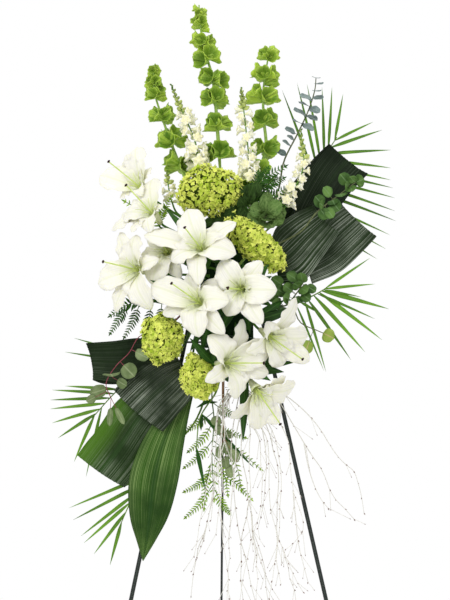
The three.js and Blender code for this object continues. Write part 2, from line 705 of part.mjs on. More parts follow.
// Aspidistra leaves: pairs of places on the two edges of the leaf, from its root on, round its fold and back.
const ASPIDISTRAS = {
  top_right: {
    edges: [
      [[262, 212, 34], [272, 226, 34]],
      [[288, 188, 20], [318, 214, 20]],
      [[314, 158, 14], [352, 190, 14]],
      [[329, 144, 22], [367, 175, 22]],
      [[316, 161, 32], [355, 187, 32]],
      [[298, 192, 36], [342, 204, 36]],
      [[288, 218, 40], [322, 226, 40]],
    ],
    hole: ["right", 24, 132],
  },
  right_back: {
    edges: [
      [[276, 246, 40], [286, 256, 40]],
      [[308, 226, 42], [336, 270, 42]],
      [[330, 207, 42], [366, 246, 42]],
      [[338, 201, 48], [376, 237, 48]],
      [[325, 209, 56], [359, 255, 56]],
      [[309, 224, 60], [340, 272, 60]],
      [[298, 240, 62], [312, 284, 62]],
    ],
    hole: ["right", 40, 205],
  },
  right_front: {
    edges: [
      [[272, 236, 78], [280, 248, 78]],
      [[292, 216, 74], [318, 258, 74]],
      [[306, 207, 76], [334, 240, 76]],
      [[312, 206, 84], [339, 233, 84]],
      [[294, 214, 92], [322, 258, 92]],
      [[276, 228, 95], [302, 282, 95]],
      [[270, 246, 95], [280, 284, 95]],
    ],
    hole: ["right", 74, 196],
  },
  left_back: {
    edges: [
      [[178, 362, 100], [178, 348, 100]],
      [[146, 380, 88], [142, 340, 88]],
      [[104, 384, 78], [97, 343, 78]],
      [[94, 380, 86], [87, 343, 86]],
      [[120, 383, 96], [113, 341, 96]],
      [[146, 384, 102], [140, 338, 102]],
      [[166, 374, 106], [162, 342, 106]],
    ],
    hole: ["left", 30, 300],
  },
  left_front: {
    edges: [
      [[186, 366, 132], [190, 378, 132]],
      [[150, 366, 136], [178, 408, 136]],
      [[122, 385, 138], [166, 424, 140]],
      [[113, 391, 146], [162, 432, 148]],
      [[133, 373, 154], [178, 414, 156]],
      [[155, 359, 158], [192, 396, 160]],
      [[176, 356, 158], [194, 378, 160]],
    ],
    hole: ["left", 82, 352],
  },
  left_low: {
    edges: [
      [[182, 392, 112], [186, 404, 112]],
      [[138, 400, 110], [160, 440, 116]],
      [[92, 436, 106], [130, 477, 110]],
      [[77, 456, 112], [124, 488, 116]],
      [[98, 428, 118], [139, 470, 124]],
      [[117, 401, 120], [158, 440, 126]],
      [[140, 384, 120], [172, 416, 124]],
    ],
    hole: ["left", 52, 340],
  },
  hanging: {
    edges: [
      [[186, 388, 130], [194, 392, 130]],
      [[160, 414, 134], [188, 420, 132]],
      [[140, 446, 142], [183, 450, 140]],
      [[129, 480, 154], [178, 482, 152]],
      [[130, 517, 168], [169, 515, 166]],
      [[137, 542, 178], [156, 540, 176]],
      [[143, 561, 184], [143, 561, 184]],
    ],
    hole: ["bottom", -44, 52],
  },
};

// A wide leaf between two edges: cupped a little along its midrib, with its stalk sunk into its first pair.
function aspidistra({ edges, hole: holePlace }) {
  const pairs = edges.map(([left, right]) => [at(left), at(right)]);
  const stations = pairs.map(([left, right], k) => {
    const middle = left.clone().lerp(right, 0.5);
    const across = right.clone().sub(left);
    const half = across.length() / 2;
    if (half < 1) return { at: middle, half: 0 };
    return { at: middle, wide: across, half, thick: LEAF_THICKNESS / 2 + 0.3, lift: Math.sin(k * 1.7) * 2 };
  });
  const { path } = stemLine(holePlace, [stations[0].at, stations[0].at.clone().lerp(stations[1].at, 0.3)], 2);
  return { stems: [rod(path, 2.4, 3)], blades: [blade(stations)] };
}

// Palm fronds: the rachis after its hole, and its leaflets: a tip, the share of the rachis where it starts,
// and half its width in millimetres.
const PALMS = {
  upper_right: {
    line: [[262, 236, 40], [286, 214, 10], [306, 184, 0], [322, 160, -4], [337, 137, -6]],
    leaflets: [
      [[282, 90], 0.62, 5], [[297, 83], 0.68, 5], [[307, 84], 0.74, 5], [[322, 87], 0.8, 5],
      [[332, 87], 0.87, 5],
      [[343, 94], 0.98, 5], [[373, 122], 0.98, 5], [[382, 130], 0.9, 6], [[391, 150], 0.83, 6],
      [[391, 168], 0.76, 6],
      [[391, 180], 0.7, 6], [[393, 188], 0.64, 6], [[395, 198], 0.58, 6], [[395, 211], 0.53, 6],
      [[396, 221], 0.48, 6],
      [[390, 235], 0.42, 6], [[386, 249], 0.36, 6], [[377, 259], 0.3, 6],
    ],
    hole: ["right", 28, 166],
  },
  lower_right: {
    line: [[268, 318, 70], [296, 304, 62], [318, 293, 58], [326, 288, 56]],
    leaflets: [
      [[370, 258], 0.98, 5], [[361, 297], 0.9, 4], [[375, 284], 0.95, 5], [[389, 309], 0.82, 8],
      [[382, 340], 0.72, 7],
      [[365, 352], 0.6, 7], [[351, 360], 0.5, 6], [[319, 313], 0.4, 5], [[375, 319], 0.66, 5],
      [[326, 372], 0.46, 5],
      [[324, 371], 0.34, 4],
    ],
    hole: ["right", 46, 300],
  },
  left: {
    line: [[176, 356, 40], [150, 366, 30], [120, 388, 26], [92, 418, 24]],
    leaflets: [
      [[74, 338], 0.55, 5], [[65, 352], 0.62, 5], [[65, 386], 0.7, 6], [[52, 390], 0.75, 6],
      [[50, 400], 0.8, 6],
      [[50, 409], 0.86, 6], [[52, 423], 0.92, 6], [[58, 438], 0.97, 6], [[74, 462], 0.99, 6],
      [[86, 477], 0.9, 5],
    ],
    hole: ["left", 24, 326],
  },
  lower_left: {
    line: [[196, 420, 70], [164, 456, 64], [134, 496, 62], [118, 530, 62]],
    leaflets: [
      [[69, 508], 0.66, 7], [[73, 520], 0.75, 7], [[81, 536], 0.83, 7], [[84, 543], 0.89, 7],
      [[94, 554], 0.95, 6],
      [[110, 565], 0.99, 6],
    ],
    hole: ["bottom", -24, 22],
  },
  straps: {
    line: [[216, 392, 118], [208, 404, 118], [200, 418, 118], [196, 452, 118]],
    leaflets: [
      [[235, 444], 0.4, 9], [[205, 490], 0.98, 7], [[196, 408], 0.2, 6], [[201, 431], 0.6, 6],
      [[218, 402], 0.3, 4],
    ],
    hole: ["bottom", -4, 62],
  },
};

function palm({ line, leaflets, hole: holePlace }) {
  const { path, line: rachis } = stemLine(holePlace, line.map(at), 5);
  const blades = leaflets.map(([[column, row], share, half], k) => {
    const seat = rachis.place(share * 0.98);
    const forward = line.at(-1)[2] - 6 + (k % 3) * 6;
    const tip = at([column, row, forward]);
    const way = tip.clone().sub(seat).normalize();
    const wide = way.clone().cross(OUT);
    return leaflet(step(seat, way, -ROOT_SINK), tip, wide, half, PALM_LEAFLET_THICKNESS, [0.4]);
  });
  return { stems: [rod(path, taper(path, 2.8, 1.4), 3)], blades };
}

// Eucalyptus: each sprig's line, and its leaves as a place, a width and a length in pixels.
const GUMS = {
  blue_top: {
    line: [[276, 196, 90], [284, 161, 86], [298, 133, 84], [309, 109, 82], [315, 89, 80], [316, 78, 80]],
    leaves: [
      [316, 80, 9, 8], [320, 86, 9, 8], [314, 98, 11, 8], [304, 99, 11, 8], [312, 110, 12, 8],
      [301, 115, 12, 9],
      [304, 125, 16, 11], [291, 131, 12, 9], [290, 144, 12, 9], [281, 152, 10, 8],
    ],
    colour: GUM_BLUE,
    hole: ["top", 46, 34],
  },
  green_right: {
    line: [[300, 232, 118], [317, 212, 112], [335, 198, 108], [356, 182, 106]],
    leaves: [
      [344, 179, 13, 13], [351, 189, 12, 12], [359, 181, 13, 13], [341, 195, 13, 13], [327, 192, 12, 12],
      [319, 201, 13, 13], [324, 214, 12, 12], [336, 206, 13, 13],
    ],
    colour: GUM_GREEN,
    hole: ["right", 84, 165],
  },
  rosette: {
    line: [[264, 226, 160], [266, 214, 176]],
    leaves: [
      [266, 203, 17, 16], [275, 208, 17, 16], [277, 218, 16, 15], [270, 225, 17, 15], [259, 222, 17, 16],
      [257, 210, 16, 16],
    ],
    colour: GUM_GREEN,
    hole: ["front", 30, 160],
  },
  right_side: {
    line: [[284, 306, 120], [296, 294, 132], [303, 283, 136]],
    leaves: [[302, 278, 12, 12], [304, 290, 12, 12], [288, 288, 12, 12], [286, 298, 12, 12],
      [281, 309, 14, 14]],
    side: [[300, 322, 120], [316, 330, 122], [323, 333, 122]],
    sideLeaves: [[327, 335, 14, 17], [307, 347, 12, 14]],
    colour: GUM_GREEN,
    hole: ["right", 80, 262],
  },
  red_left: {
    line: [[160, 332, 150], [140, 336, 156], [129, 353, 160], [116, 366, 164], [106, 384, 166],
      [111, 398, 166]],
    leaves: [
      [129, 371, 14, 13], [110, 376, 16, 15], [98, 390, 14, 14], [91, 397, 10, 10], [121, 381, 12, 12],
      [110, 416, 6, 16],
      [120, 414, 6, 16], [143, 355, 10, 15],
    ],
    colour: GUM_GREEN,
    hole: ["left", 84, 282],
  },
  hanging: {
    line: [[224, 372, 134], [223, 385, 134], [223, 410, 132], [224, 437, 130]],
    leaves: [[222, 414, 11, 12], [216, 421, 10, 12], [227, 448, 11, 14], [234, 456, 11, 14],
      [230, 471, 9, 14]],
    colour: GUM_GREEN,
    hole: ["bottom", 8, 78],
  },
};

// The leaves of a sprig: each grows from the nearest point of its line.
function gumLeaves(line, leaves, depth, random) {
  return leaves.map(([column, row, width, height], k) => {
    const root = line.nearest(at([column, row, depth]));
    const middle = at([column, row, depth + 6 + (k % 2) * 5]);
    const along = middle.clone().sub(root).normalize();
    const half = (Math.max(width, height) * MM_PER_PIXEL) / 2;
    const halfWide = (Math.min(width, height) * MM_PER_PIXEL) / 2;
    const wide = along.clone().cross(facing([mix(-0.3, 0.3, random()), mix(-0.3, 0.3, random()), 1]));
    const reach = middle.distanceTo(root);
    const stalk = Math.max(0, reach - half) / (reach + half);
    return roundLeaf(root, step(middle, along, half), wide, halfWide, stalk);
  });
}

function gum({ line, leaves, side = [], sideLeaves = [], hole: holePlace }, random) {
  const { path, line: twig } = stemLine(holePlace, line.map(at), 5);
  const stems = [rod(path, taper(path, 2.6, 1.2), 3)];
  const blades = gumLeaves(twig, leaves, line.at(-1)[2], random);
  if (side.length) {
    const branch = evenly([twig.place(0.3), ...side.map(at)], 4);
    stems.push(rod(branch, taper(branch, 1.8, 1.2), 3));
    blades.push(...gumLeaves(new Line(branch), sideLeaves, side.at(-1)[2], random));
  }
  return { stems, blades };
}

// Ferns: the midrib, the side sprays that start on it, and how much of the midrib is bare.
const FERNS = {
  upper_left: {
    line: [[196, 262, 150], [170, 238, 150], [150, 216, 148], [124, 201, 144]],
    sprays: [[[160, 226, 149], [163, 212, 146], [172, 196, 142]]],
    pairs: 4,
    bare: 0.5,
    hole: ["left", 62, 190],
  },
  left: {
    line: [[180, 300, 132], [156, 302, 130], [130, 304, 126], [110, 316, 122]],
    sprays: [[[140, 303, 128], [134, 320, 126], [124, 338, 124]]],
    pairs: 4,
    bare: 0.5,
    hole: ["left", 72, 236],
  },
  top_middle: {
    line: [[240, 232, 146], [248, 212, 148], [252, 192, 148], [258, 172, 146]],
    sprays: [[[250, 204, 148], [262, 190, 147], [276, 176, 146]]],
    pairs: 4,
    bare: 0.4,
    hole: ["front", 12, 158],
  },
  hanging: {
    line: [[212, 392, 104], [214, 420, 102], [212, 452, 100], [214, 500, 98]],
    sprays: [
      [[213, 440, 101], [200, 456, 102], [184, 468, 102]], [[213, 470, 100], [200, 484, 102],
        [184, 492, 102]],
      [[213, 484, 100], [200, 504, 101], [185, 518, 101]], [[213, 446, 101], [238, 452, 98], [262, 470, 96]],
      [[213, 470, 100], [236, 484, 97], [252, 500, 95]],
    ],
    pairs: 4,
    bare: 0.75,
    hole: ["bottom", -14, 40],
  },
};

// A spray: one thin blade whose edges run out to the tip of each pinnule and back to the rib.
function fernSpray(points, pairs, size, bare = 0) {
  const line = new Line(evenly(points, 9));
  const last = pairs * 2;
  const stations = Array.from({ length: last }, (_, k) => {
    const share = k ? mix(bare, 1, k / last) : 0;
    const isTip = k % 2 === 1;
    const reach = mix(1, 0.45, share) * Math.min(1, 0.6 + 2 * share) * size;
    return {
      at: line.place(share),
      wide: line.along(share).cross(OUT),
      half: isTip ? reach : 1.6,
      thick: 0.8,
      lift: isTip ? 1.5 : 0,
      sweep: isTip ? reach * 0.35 : 0,
    };
  });
  return blade([...stations, { at: line.place(1), half: 0 }]);
}

function fern({ line, sprays, pairs, bare = 0, hole: holePlace }) {
  const { path, line: midrib } = stemLine(holePlace, line.map(at), 5);
  const side = sprays.map((spray) => [midrib.nearest(at(spray[0])), ...spray.slice(1).map(at)]);
  const leafy = midrib.points.slice(Math.round(bare * (midrib.points.length - 1)));
  const blades = [fernSpray(leafy, pairs, 26), ...side.map((spray) => fernSpray(spray, 2, 20, 0.3))];
  return { stems: [rod(path, taper(path, 2.4, 1.1), 3)], blades };
}

// Twigs: strands of one bundle that hangs from the foam's lower face; each starts on another or at the root.
const TWIG_HOLE = ["bottom", 34, 70];
const TWIG_ROOT = [[240, 372, 146], [243, 384, 150]];
const TWIG_STRANDS = [
  [[243, 384, 150], [228, 392, 158], [221, 436, 160], [207, 525, 158], [192, 571, 156]],
  [[207, 525, 158], [200, 545, 157], [196, 560, 156], [191, 596, 154]],
  [[243, 384, 150], [238, 430, 156], [230, 520, 154], [229, 560, 153], [227, 601, 152]],
  [[243, 384, 150], [250, 433, 154], [249, 470, 154], [252, 530, 152], [257, 566, 151], [256, 601, 150]],
  [[252, 530, 152], [259, 557, 154], [268, 580, 156], [280, 601, 156]],
  [[250, 500, 153], [246, 520, 150], [240, 554, 148], [243, 599, 146]],
  [[243, 384, 150], [263, 432, 148], [266, 467, 146], [264, 498, 146], [258, 528, 145]],
  [[243, 384, 150], [267, 427, 144], [278, 470, 142], [277, 531, 140], [287, 565, 140], [296, 601, 140]],
  [[277, 531, 140], [276, 560, 138], [281, 584, 138]],
  [[243, 384, 150], [284, 430, 158], [293, 490, 158], [303, 529, 158], [286, 549, 156]],
  [[293, 490, 158], [298, 540, 160], [308, 582, 160]],
  [[243, 384, 150], [270, 392, 160], [304, 443, 164], [321, 470, 164], [333, 495, 162], [354, 519, 160]],
  [[243, 384, 150], [280, 392, 168], [313, 420, 172], [336, 455, 170], [356, 475, 168], [364, 513, 166]],
  [[304, 443, 164], [310, 474, 166], [321, 500, 166], [328, 508, 166]],
];

// A strand swells at every other point, where a bud sits; a short one has fewer.
function twigs() {
  const root = stemLine(TWIG_HOLE, TWIG_ROOT.map(at), 2).path;
  const rods = TWIG_STRANDS.map((strand) => {
    const points = evenly(strand.map(at), strand.length > 4 ? 6 : 5);
    return rod(points, points.map((p, k) => (k % 2 ? TWIG_BUD_RADIUS : TWIG_RADIUS)), 3);
  });
  return { stems: [rod(root, 2.4, 4), ...rods], blades: [] };
}

// A flat leg bar: two round beads joined by a thinner web, in the leaning plane, cut level at the floor.
function frontLeg(sign) {
  const foot = onEasel(sign * FRONT_FOOT_ACROSS, SLOPE_LENGTH, 0);
  const head = onEasel(sign * TOP_HALF_WIDTH, 0, 0);
  const along = foot.clone().sub(head).normalize();
  const side = along.clone().cross(OUT).normalize();
  const bead = LEG_THICKNESS / 2;
  const apart = LEG_WIDTH / 2 - bead;
  const ends = [step(head, along, -bead), step(foot, along, 3 * LEG_WIDTH)];
  const beads = [-apart, apart].map((shift) => rod(ends.map((p) => step(p, side, shift)), bead, 6)(0));
  const half = [apart, ends[0].distanceTo(ends[1]) / 2 - 1, LEG_WEB_THICKNESS / 2];
  const web = solidOf(...boxAt(ends[0].clone().lerp(ends[1], 0.5), half, [side, along, OUT]));
  return join([...beads, web]).subtract(underFloor(foot));
}

// A block below the floor round a foot, which cuts it level.
function underFloor(foot) {
  const centre = new THREE.Vector3(foot.x, foot.y, -FLOOR_CUT_DEPTH);
  const half = [FLOOR_CUT_DEPTH, FLOOR_CUT_DEPTH, FLOOR_CUT_DEPTH];
  return solidOf(...boxAt(centre, half, [ACROSS, new THREE.Vector3(0, 1, 0), new THREE.Vector3(0, 0, 1)]));
}

// A crossbar in the leaning plane, as far as a value across on both sides.
function crossBar(across, down, radius) {
  return rod([onEasel(-across, down, 0), onEasel(across, down, 0)], radius, 6)(0);
}

// The rear leg: a round rod whose upper end is an open eye round the top bar.
function rearLeg() {
  const foot = new THREE.Vector3(0, REAR_FOOT_REACH, 0);
  const head = new THREE.Vector3(0, 0, EASEL_TOP);
  const along = foot.clone().sub(head).normalize();
  const eyeRadius = BAR_RADIUS + GAP + EYE_RADIUS;
  const shank = rod([step(head, along, eyeRadius), step(foot, along, 8)], REAR_ROD_RADIUS, 8)(0);
  const up = new THREE.Vector3(0, 0, 1);
  const centres = circle(head, up, new THREE.Vector3(0, 1, 0), eyeRadius, 8);
  const rings = centres.map((centre) => {
    const outward = centre.clone().sub(head).normalize();
    return circle(centre, outward, ACROSS, EYE_RADIUS, 5);
  });
  return join([shank.subtract(underFloor(foot)), torus(rings)]);
}

// A ring of outlines closed on itself.
function torus(rings) {
  const count = rings[0].length;
  const faces = [];
  rings.forEach((ring, k) => {
    const next = ((k + 1) % rings.length) * count;
    const here = k * count;
    for (let j = 0; j < count; j++) {
      const i = (j + 1) % count;
      faces.push([here + j, here + i, next + i], [here + j, next + i, next + j]);
    }
  });
  return solidOf(rings.flat(), faces);
}

// The corners and faces of a box with half sizes along three directions.
function boxAt(centre, half, axes) {
  const points = [];
  for (const z of [-1, 1]) {
    for (const y of [-1, 1]) {
      for (const x of [-1, 1]) {
        const edge = step(step(centre, axes[0], x * half[0]), axes[1], y * half[1]);
        points.push(step(edge, axes[2], z * half[2]));
      }
    }
  }
  const faces = [
    [0, 2, 3], [0, 3, 1], [4, 5, 7], [4, 7, 6], [0, 1, 5], [0, 5, 4],
    [2, 6, 7], [2, 7, 3], [0, 4, 6], [0, 6, 2], [1, 3, 7], [1, 7, 5],
  ];
  return [points, faces];
}

// A box in the leaning plane, between two values across, down and out.
function easelBox([x0, x1], [down0, down1], [out0, out1]) {
  const centre = onEasel((x0 + x1) / 2, (down0 + down1) / 2, (out0 + out1) / 2);
  const half = [(x1 - x0) / 2, (down1 - down0) / 2, (out1 - out0) / 2];
  return solidOf(...boxAt(centre, half, [ACROSS, DOWN, OUT]));
}

// How far from the middle a leg runs, at a distance down from the top bar.
const legAcross = (down) => mix(TOP_HALF_WIDTH, FRONT_FOOT_ACROSS, down / SLOPE_LENGTH);

// The tray stands on the two bars behind it, and the bars run between the legs.
const TRAY_BACK = BAR_RADIUS + GAP;

function tray() {
  const outer = FOAM_HALF_WIDTH + GAP + TRAY_WALL;
  const down = [FOAM_DOWN[0] - GAP - TRAY_WALL, FOAM_DOWN[1] + GAP + TRAY_WALL];
  const shell = easelBox([-outer, outer], down, [TRAY_BACK, TRAY_BACK + TRAY_LIP]);
  const room = easelBox(
    [-FOAM_HALF_WIDTH - GAP, FOAM_HALF_WIDTH + GAP],
    [FOAM_DOWN[0] - GAP, FOAM_DOWN[1] + GAP],
    [FOAM_OUT[0] - GAP, FOAM_OUT[1]],
  );
  return shell.subtract(room);
}

// A wire tie round foam, tray, bar and, where they run inside it, the legs: a loop with its corners clipped.
// It slants, so that it passes over the bar on one side and under it on the other.
function tie(down) {
  const side = FOAM_HALF_WIDTH + TRAY_WALL + GAP * 2 + TIE_RADIUS;
  const front = FOAM_OUT[1] + GAP + TIE_RADIUS;
  const back = -BAR_RADIUS - GAP - TIE_RADIUS;
  const frontCorner = 2.5;
  const backCorner = 5;
  const right = [
    [side - frontCorner, front],
    [side, front - frontCorner],
    [side, back + backCorner],
    [side - backCorner, back],
  ];
  const left = right.map(([across, out]) => [-across, out]).reverse();
  const slant = (across) => down + (TIE_SLANT * across) / side;
  const points = [...right, ...left].map(([across, out]) => onEasel(across, slant(across), out));
  const rings = points.map((p, k) => {
    const before = points[(k + points.length - 1) % points.length];
    const after = points[(k + 1) % points.length];
    const outward = after.clone().sub(before).normalize().cross(DOWN).normalize();
    return circle(p, outward, DOWN, TIE_RADIUS, 5);
  });
  return torus(rings);
}

// The two front legs with the bars between them: each bar ends inside the legs.
function frontFrame() {
  const bars = BAR_DOWN.map((down) => crossBar(legAcross(down) + BAR_SINK, down, BAR_RADIUS));
  const topBar = crossBar(TOP_HALF_WIDTH - LEG_WIDTH / 2 + BAR_SINK, 0, BAR_RADIUS);
  return join([frontLeg(-1), frontLeg(1), topBar, ...bars]);
}

// Room that no leaf may enter: round the foam block, the legs and the bars, and where the rear leg swings.
function holderRoom() {
  const across = FOAM_HALF_WIDTH + HOLDER_ROOM;
  const down = [FOAM_DOWN[0] - HOLDER_ROOM, FOAM_DOWN[1] + HOLDER_ROOM];
  const block = easelBox([-across, across], down, [-HOLDER_ROOM, FOAM_OUT[1] + HOLDER_ROOM]);
  const legs = [-1, 1].map((sign) => {
    const head = onEasel(sign * legAcross(-LEG_WIDTH), -LEG_WIDTH, 0);
    const foot = onEasel(sign * FRONT_FOOT_ACROSS, SLOPE_LENGTH, 0);
    return rod([head, foot], (LEG_WIDTH / 2 + GAP) / Math.cos(Math.PI / 6), 6)(0);
  });
  const bars = [0, ...BAR_DOWN].map((down) => crossBar(legAcross(down), down, BAR_RADIUS + HOLDER_ROOM));
  return [block, ...legs, ...bars, rearSwing()];
}

// The wedge that the rear leg sweeps between its open and its folded place, seen from the side a triangle.
function rearSwing() {
  const folded = SLOPE_LENGTH * Math.sin(LEAN - REAR_FOLD);
  const corners = [
    [SWING_ROOM, EASEL_TOP],
    [-SWING_ROOM, EASEL_TOP],
    [folded - SWING_ROOM, 0],
    [REAR_FOOT_REACH, 0],
  ];
  const side = (x) => corners.map(([y, z]) => new THREE.Vector3(x, y, z));
  const points = [-SWING_ROOM, SWING_ROOM].flatMap(side);
  return solidOf(points, [
    [0, 1, 2], [0, 2, 3], [4, 6, 5], [4, 7, 6], [0, 5, 1], [0, 4, 5], [1, 6, 2], [1, 5, 6], [2, 7, 3],
    [2, 6, 7],
    [3, 4, 0], [3, 7, 4],
  ]);
}

const random = seeded(SEED);
const plants = [];
const plant = (name, material, stems, blades, outline) => {
  plants.push({ name, material, stems, blades, outline });
};

for (const [key, lily] of Object.entries(LILIES)) {
  const green = lilyStem(lily);
  plant(`lily_${key}_bloom`, PETAL_WHITE, [], lilyBloom(lily));
  plant(`lily_${key}_stem`, STEM_GREEN, green.stems, green.blades);
}
for (const [key, head] of Object.entries(HYDRANGEAS)) {
  const { stems, blades, outline } = hydrangea(head, random);
  plant(`hydrangea_${key}`, HYDRANGEA_GREEN, stems, blades, outline);
}
for (const [key, spike] of Object.entries(SNAPS)) {
  const { stems, blades } = snapdragon(spike, random);
  plant(`snapdragon_${key}`, SNAP_CREAM, stems, blades);
}
for (const [key, spike] of Object.entries(BELLS)) {
  const { stems, blades } = bellSpike(spike, random);
  plant(`bells_of_ireland_${key}`, BELL_GREEN, stems, blades);
}
for (const [key, sprig] of Object.entries(GUMS)) {
  const { stems, blades } = gum(sprig, random);
  plant(`eucalyptus_${key}`, sprig.colour, stems, blades);
}
for (const [key, leaf] of Object.entries(ASPIDISTRAS)) {
  const { stems, blades } = aspidistra(leaf);
  plant(`aspidistra_${key}`, LEAF_DARK, stems, blades);
}
for (const [key, frond] of Object.entries(PALMS)) {
  const { stems, blades } = palm(frond);
  plant(`palm_${key}`, PALM_GREEN, stems, blades);
}
for (const [key, spray] of Object.entries(FERNS)) {
  const { stems, blades } = fern(spray);
  plant(`fern_${key}`, FERN_GREEN, stems, blades);
}
const bundle = twigs();
plant("hanging_twigs", TWIG_PALE, bundle.stems, bundle.blades);

// Leaves and petals give way to every stem, to the holder and to the leaves and petals placed before them.
const grownStems = plants.map((p) => (p.stems.length ? join(made(p.stems, GAP)) : null));
let taken = join(holderRoom());
const finished = plants.map((p, k) => {
  const others = grownStems.filter((stem, j) => stem && j !== k);
  const stems = made(p.stems, 0);
  if (!p.blades.length) return biggest(join(stems));
  const blades = join(made(p.blades, 0)).subtract(join([taken, ...others]));
  taken = taken.add(p.outline ? p.outline() : join(made(p.blades, GAP)));
  return biggest(join([...stems, blades]));
});

const foamBlock = easelBox([-FOAM_HALF_WIDTH, FOAM_HALF_WIDTH], FOAM_DOWN, FOAM_OUT).subtract(
  join(grownStems.filter((stem) => stem)),
);

const nodes = [
  ["easel_front_frame", GREEN_METAL, frontFrame()],
  ["easel_rear_leg", GREEN_METAL, rearLeg()],
  ["foam_tray", TRAY_GREEN, tray()],
  ["wire_tie_upper", GREEN_METAL, tie(BAR_DOWN[0])],
  ["wire_tie_lower", GREEN_METAL, tie(BAR_DOWN[1])],
  ["foam_block", FOAM_GREEN, biggest(foamBlock)],
  ...plants.map((p, k) => [p.name, p.material, finished[k]]),
];

function meshOf([name, material, solid]) {
  const { vertProperties, triVerts } = solid.getMesh();
  const geometry = new THREE.BufferGeometry();
  geometry.setAttribute("position", new THREE.BufferAttribute(new Float32Array(vertProperties), 3));
  geometry.setIndex(new THREE.BufferAttribute(new Uint32Array(triVerts), 1));
  geometry.computeVertexNormals();
  const mesh = new THREE.Mesh(geometry, new THREE.MeshStandardMaterial(material));
  mesh.name = name;
  return mesh;
}

const arrangement = new THREE.Group();
arrangement.add(...nodes.map(meshOf));
const bounds = new THREE.Box3().setFromObject(arrangement);
const middle = bounds.getCenter(new THREE.Vector3());
arrangement.position.set(-middle.x, -middle.y, -bounds.min.z);

const part = new THREE.Group();
part.add(arrangement);
export default part;
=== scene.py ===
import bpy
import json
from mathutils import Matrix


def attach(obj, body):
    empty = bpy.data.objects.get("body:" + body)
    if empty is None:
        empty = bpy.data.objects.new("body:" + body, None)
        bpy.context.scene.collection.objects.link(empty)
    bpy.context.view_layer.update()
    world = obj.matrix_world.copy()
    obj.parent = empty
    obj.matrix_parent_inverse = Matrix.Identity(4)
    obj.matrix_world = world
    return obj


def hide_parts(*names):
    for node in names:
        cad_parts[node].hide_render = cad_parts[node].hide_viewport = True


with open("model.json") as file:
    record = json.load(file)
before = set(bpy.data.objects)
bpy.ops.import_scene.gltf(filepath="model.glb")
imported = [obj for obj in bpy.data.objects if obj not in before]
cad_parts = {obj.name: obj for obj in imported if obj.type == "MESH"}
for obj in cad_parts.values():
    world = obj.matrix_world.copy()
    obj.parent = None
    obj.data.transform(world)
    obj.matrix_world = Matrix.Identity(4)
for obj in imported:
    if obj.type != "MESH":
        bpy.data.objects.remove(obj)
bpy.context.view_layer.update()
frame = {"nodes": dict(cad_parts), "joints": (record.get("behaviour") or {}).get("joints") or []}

import json
import logging
import math
from dataclasses import dataclass
from enum import Enum
from typing import Callable, Sequence

import bpy
import numpy as np

LOG = logging.getLogger("arrangement")
Array = np.ndarray
Marks = Sequence[Sequence[float]]
Wash = tuple[str, float]
Given = "bpy.types.NodeSocket | float | tuple[float, ...]"
NO_WASH: Wash = ("ffffff", 0.0)

# Easel and foam block, in metres: down from the top bar and out from the leaning plane of the front legs.
EASEL_TOP = 1.360
TOP_HALF_WIDTH = 0.022
FOOT_ACROSS = 0.315
FOOT_REACH = 0.250
REAR_FOOT_REACH = 0.250
LEG_WIDTH = 0.010
LEG_THICKNESS = 0.004
WEB_THICKNESS = 0.002
REAR_ROD_RADIUS = 0.003
BAR_RADIUS = 0.0025
BAR_CLEARANCE = 0.00035
EYE_RADIUS = 0.0022
BAR_DOWN = (0.150, 0.372)
FOAM_HALF_WIDTH = 0.060
FOAM_DOWN = (0.105, 0.385)
FOAM_FRONT = 0.099
STEM_DEPTH = 0.030
STEM_STRAIGHT = 0.014
SLOPE_LENGTH = math.hypot(FOOT_REACH, EASEL_TOP)
LEAN = math.atan2(FOOT_REACH, EASEL_TOP)
DOWN = np.array([0.0, -math.sin(LEAN), -math.cos(LEAN)])
OUT = np.array([0.0, -math.cos(LEAN), math.sin(LEAN)])
ACROSS = np.array([1.0, 0.0, 0.0])
UP = np.array([0.0, 0.0, 1.0])

# The eye that sees the part as the picture shows it; marks are a column, a row and millimetres forward.
PIXEL = 0.0025
MIDDLE_COLUMN = 225.0
FLOOR_ROW = 739.0
EYE_DISTANCE = 3.6
EYE_HEIGHT = 1.0975
EYE_TURN = math.radians(2.75)
PICTURE_HEIGHT = 600 * PIXEL

# The hinge at the top bar gives the place of the easel's middle in the part's own frame.
ORIGIN = np.array(frame["joints"][0]["pos_m"]) - np.array([0.0, 0.0, EASEL_TOP])
GOLDEN_TURN = 2.39996
SEED = 7


class Body(Enum):
    """The bodies that pieces ride on."""

    ARRANGEMENT = "arrangement"
    REAR_LEG = "rear_leg"


class Face(Enum):
    """The faces of the foam that stems enter."""

    LEFT = "left"
    RIGHT = "right"
    FRONT = "front"
    TOP = "top"
    BOTTOM = "bottom"


Hole = tuple[Face, float, float]


def unit(vectors: Array) -> Array:
    """Scale each vector to length one.

    Args:
        vectors: An array whose last axis holds x, y and z.

    Returns:
        The same directions with length one.
    """
    return vectors / np.maximum(np.linalg.norm(vectors, axis=-1, keepdims=True), 1e-9)


def wheel(turn: Array, first: Array, second: Array) -> Array:
    """Directions round a circle: one way times the cosine of a turn plus another times its sine.

    Args:
        turn: The turns, in radians.
        first: The way at no turn.
        second: The way at a quarter turn.

    Returns:
        One direction for each turn.
    """
    return first * np.cos(turn) + second * np.sin(turn)


def grid_map(rows: int, columns: int, round_off: bool = False) -> Array:
    """Give each point of a grid its share of the rows and of the columns.

    Args:
        rows: Points along.
        columns: Points across.
        round_off: Whether the columns run round a ring, whose last point meets the first.

    Returns:
        Two shares for each point.
    """
    across = np.linspace(0, 1, columns, endpoint=not round_off)
    return np.stack(np.meshgrid(np.linspace(0, 1, rows), across, indexing="ij"), axis=-1).reshape(-1, 2)


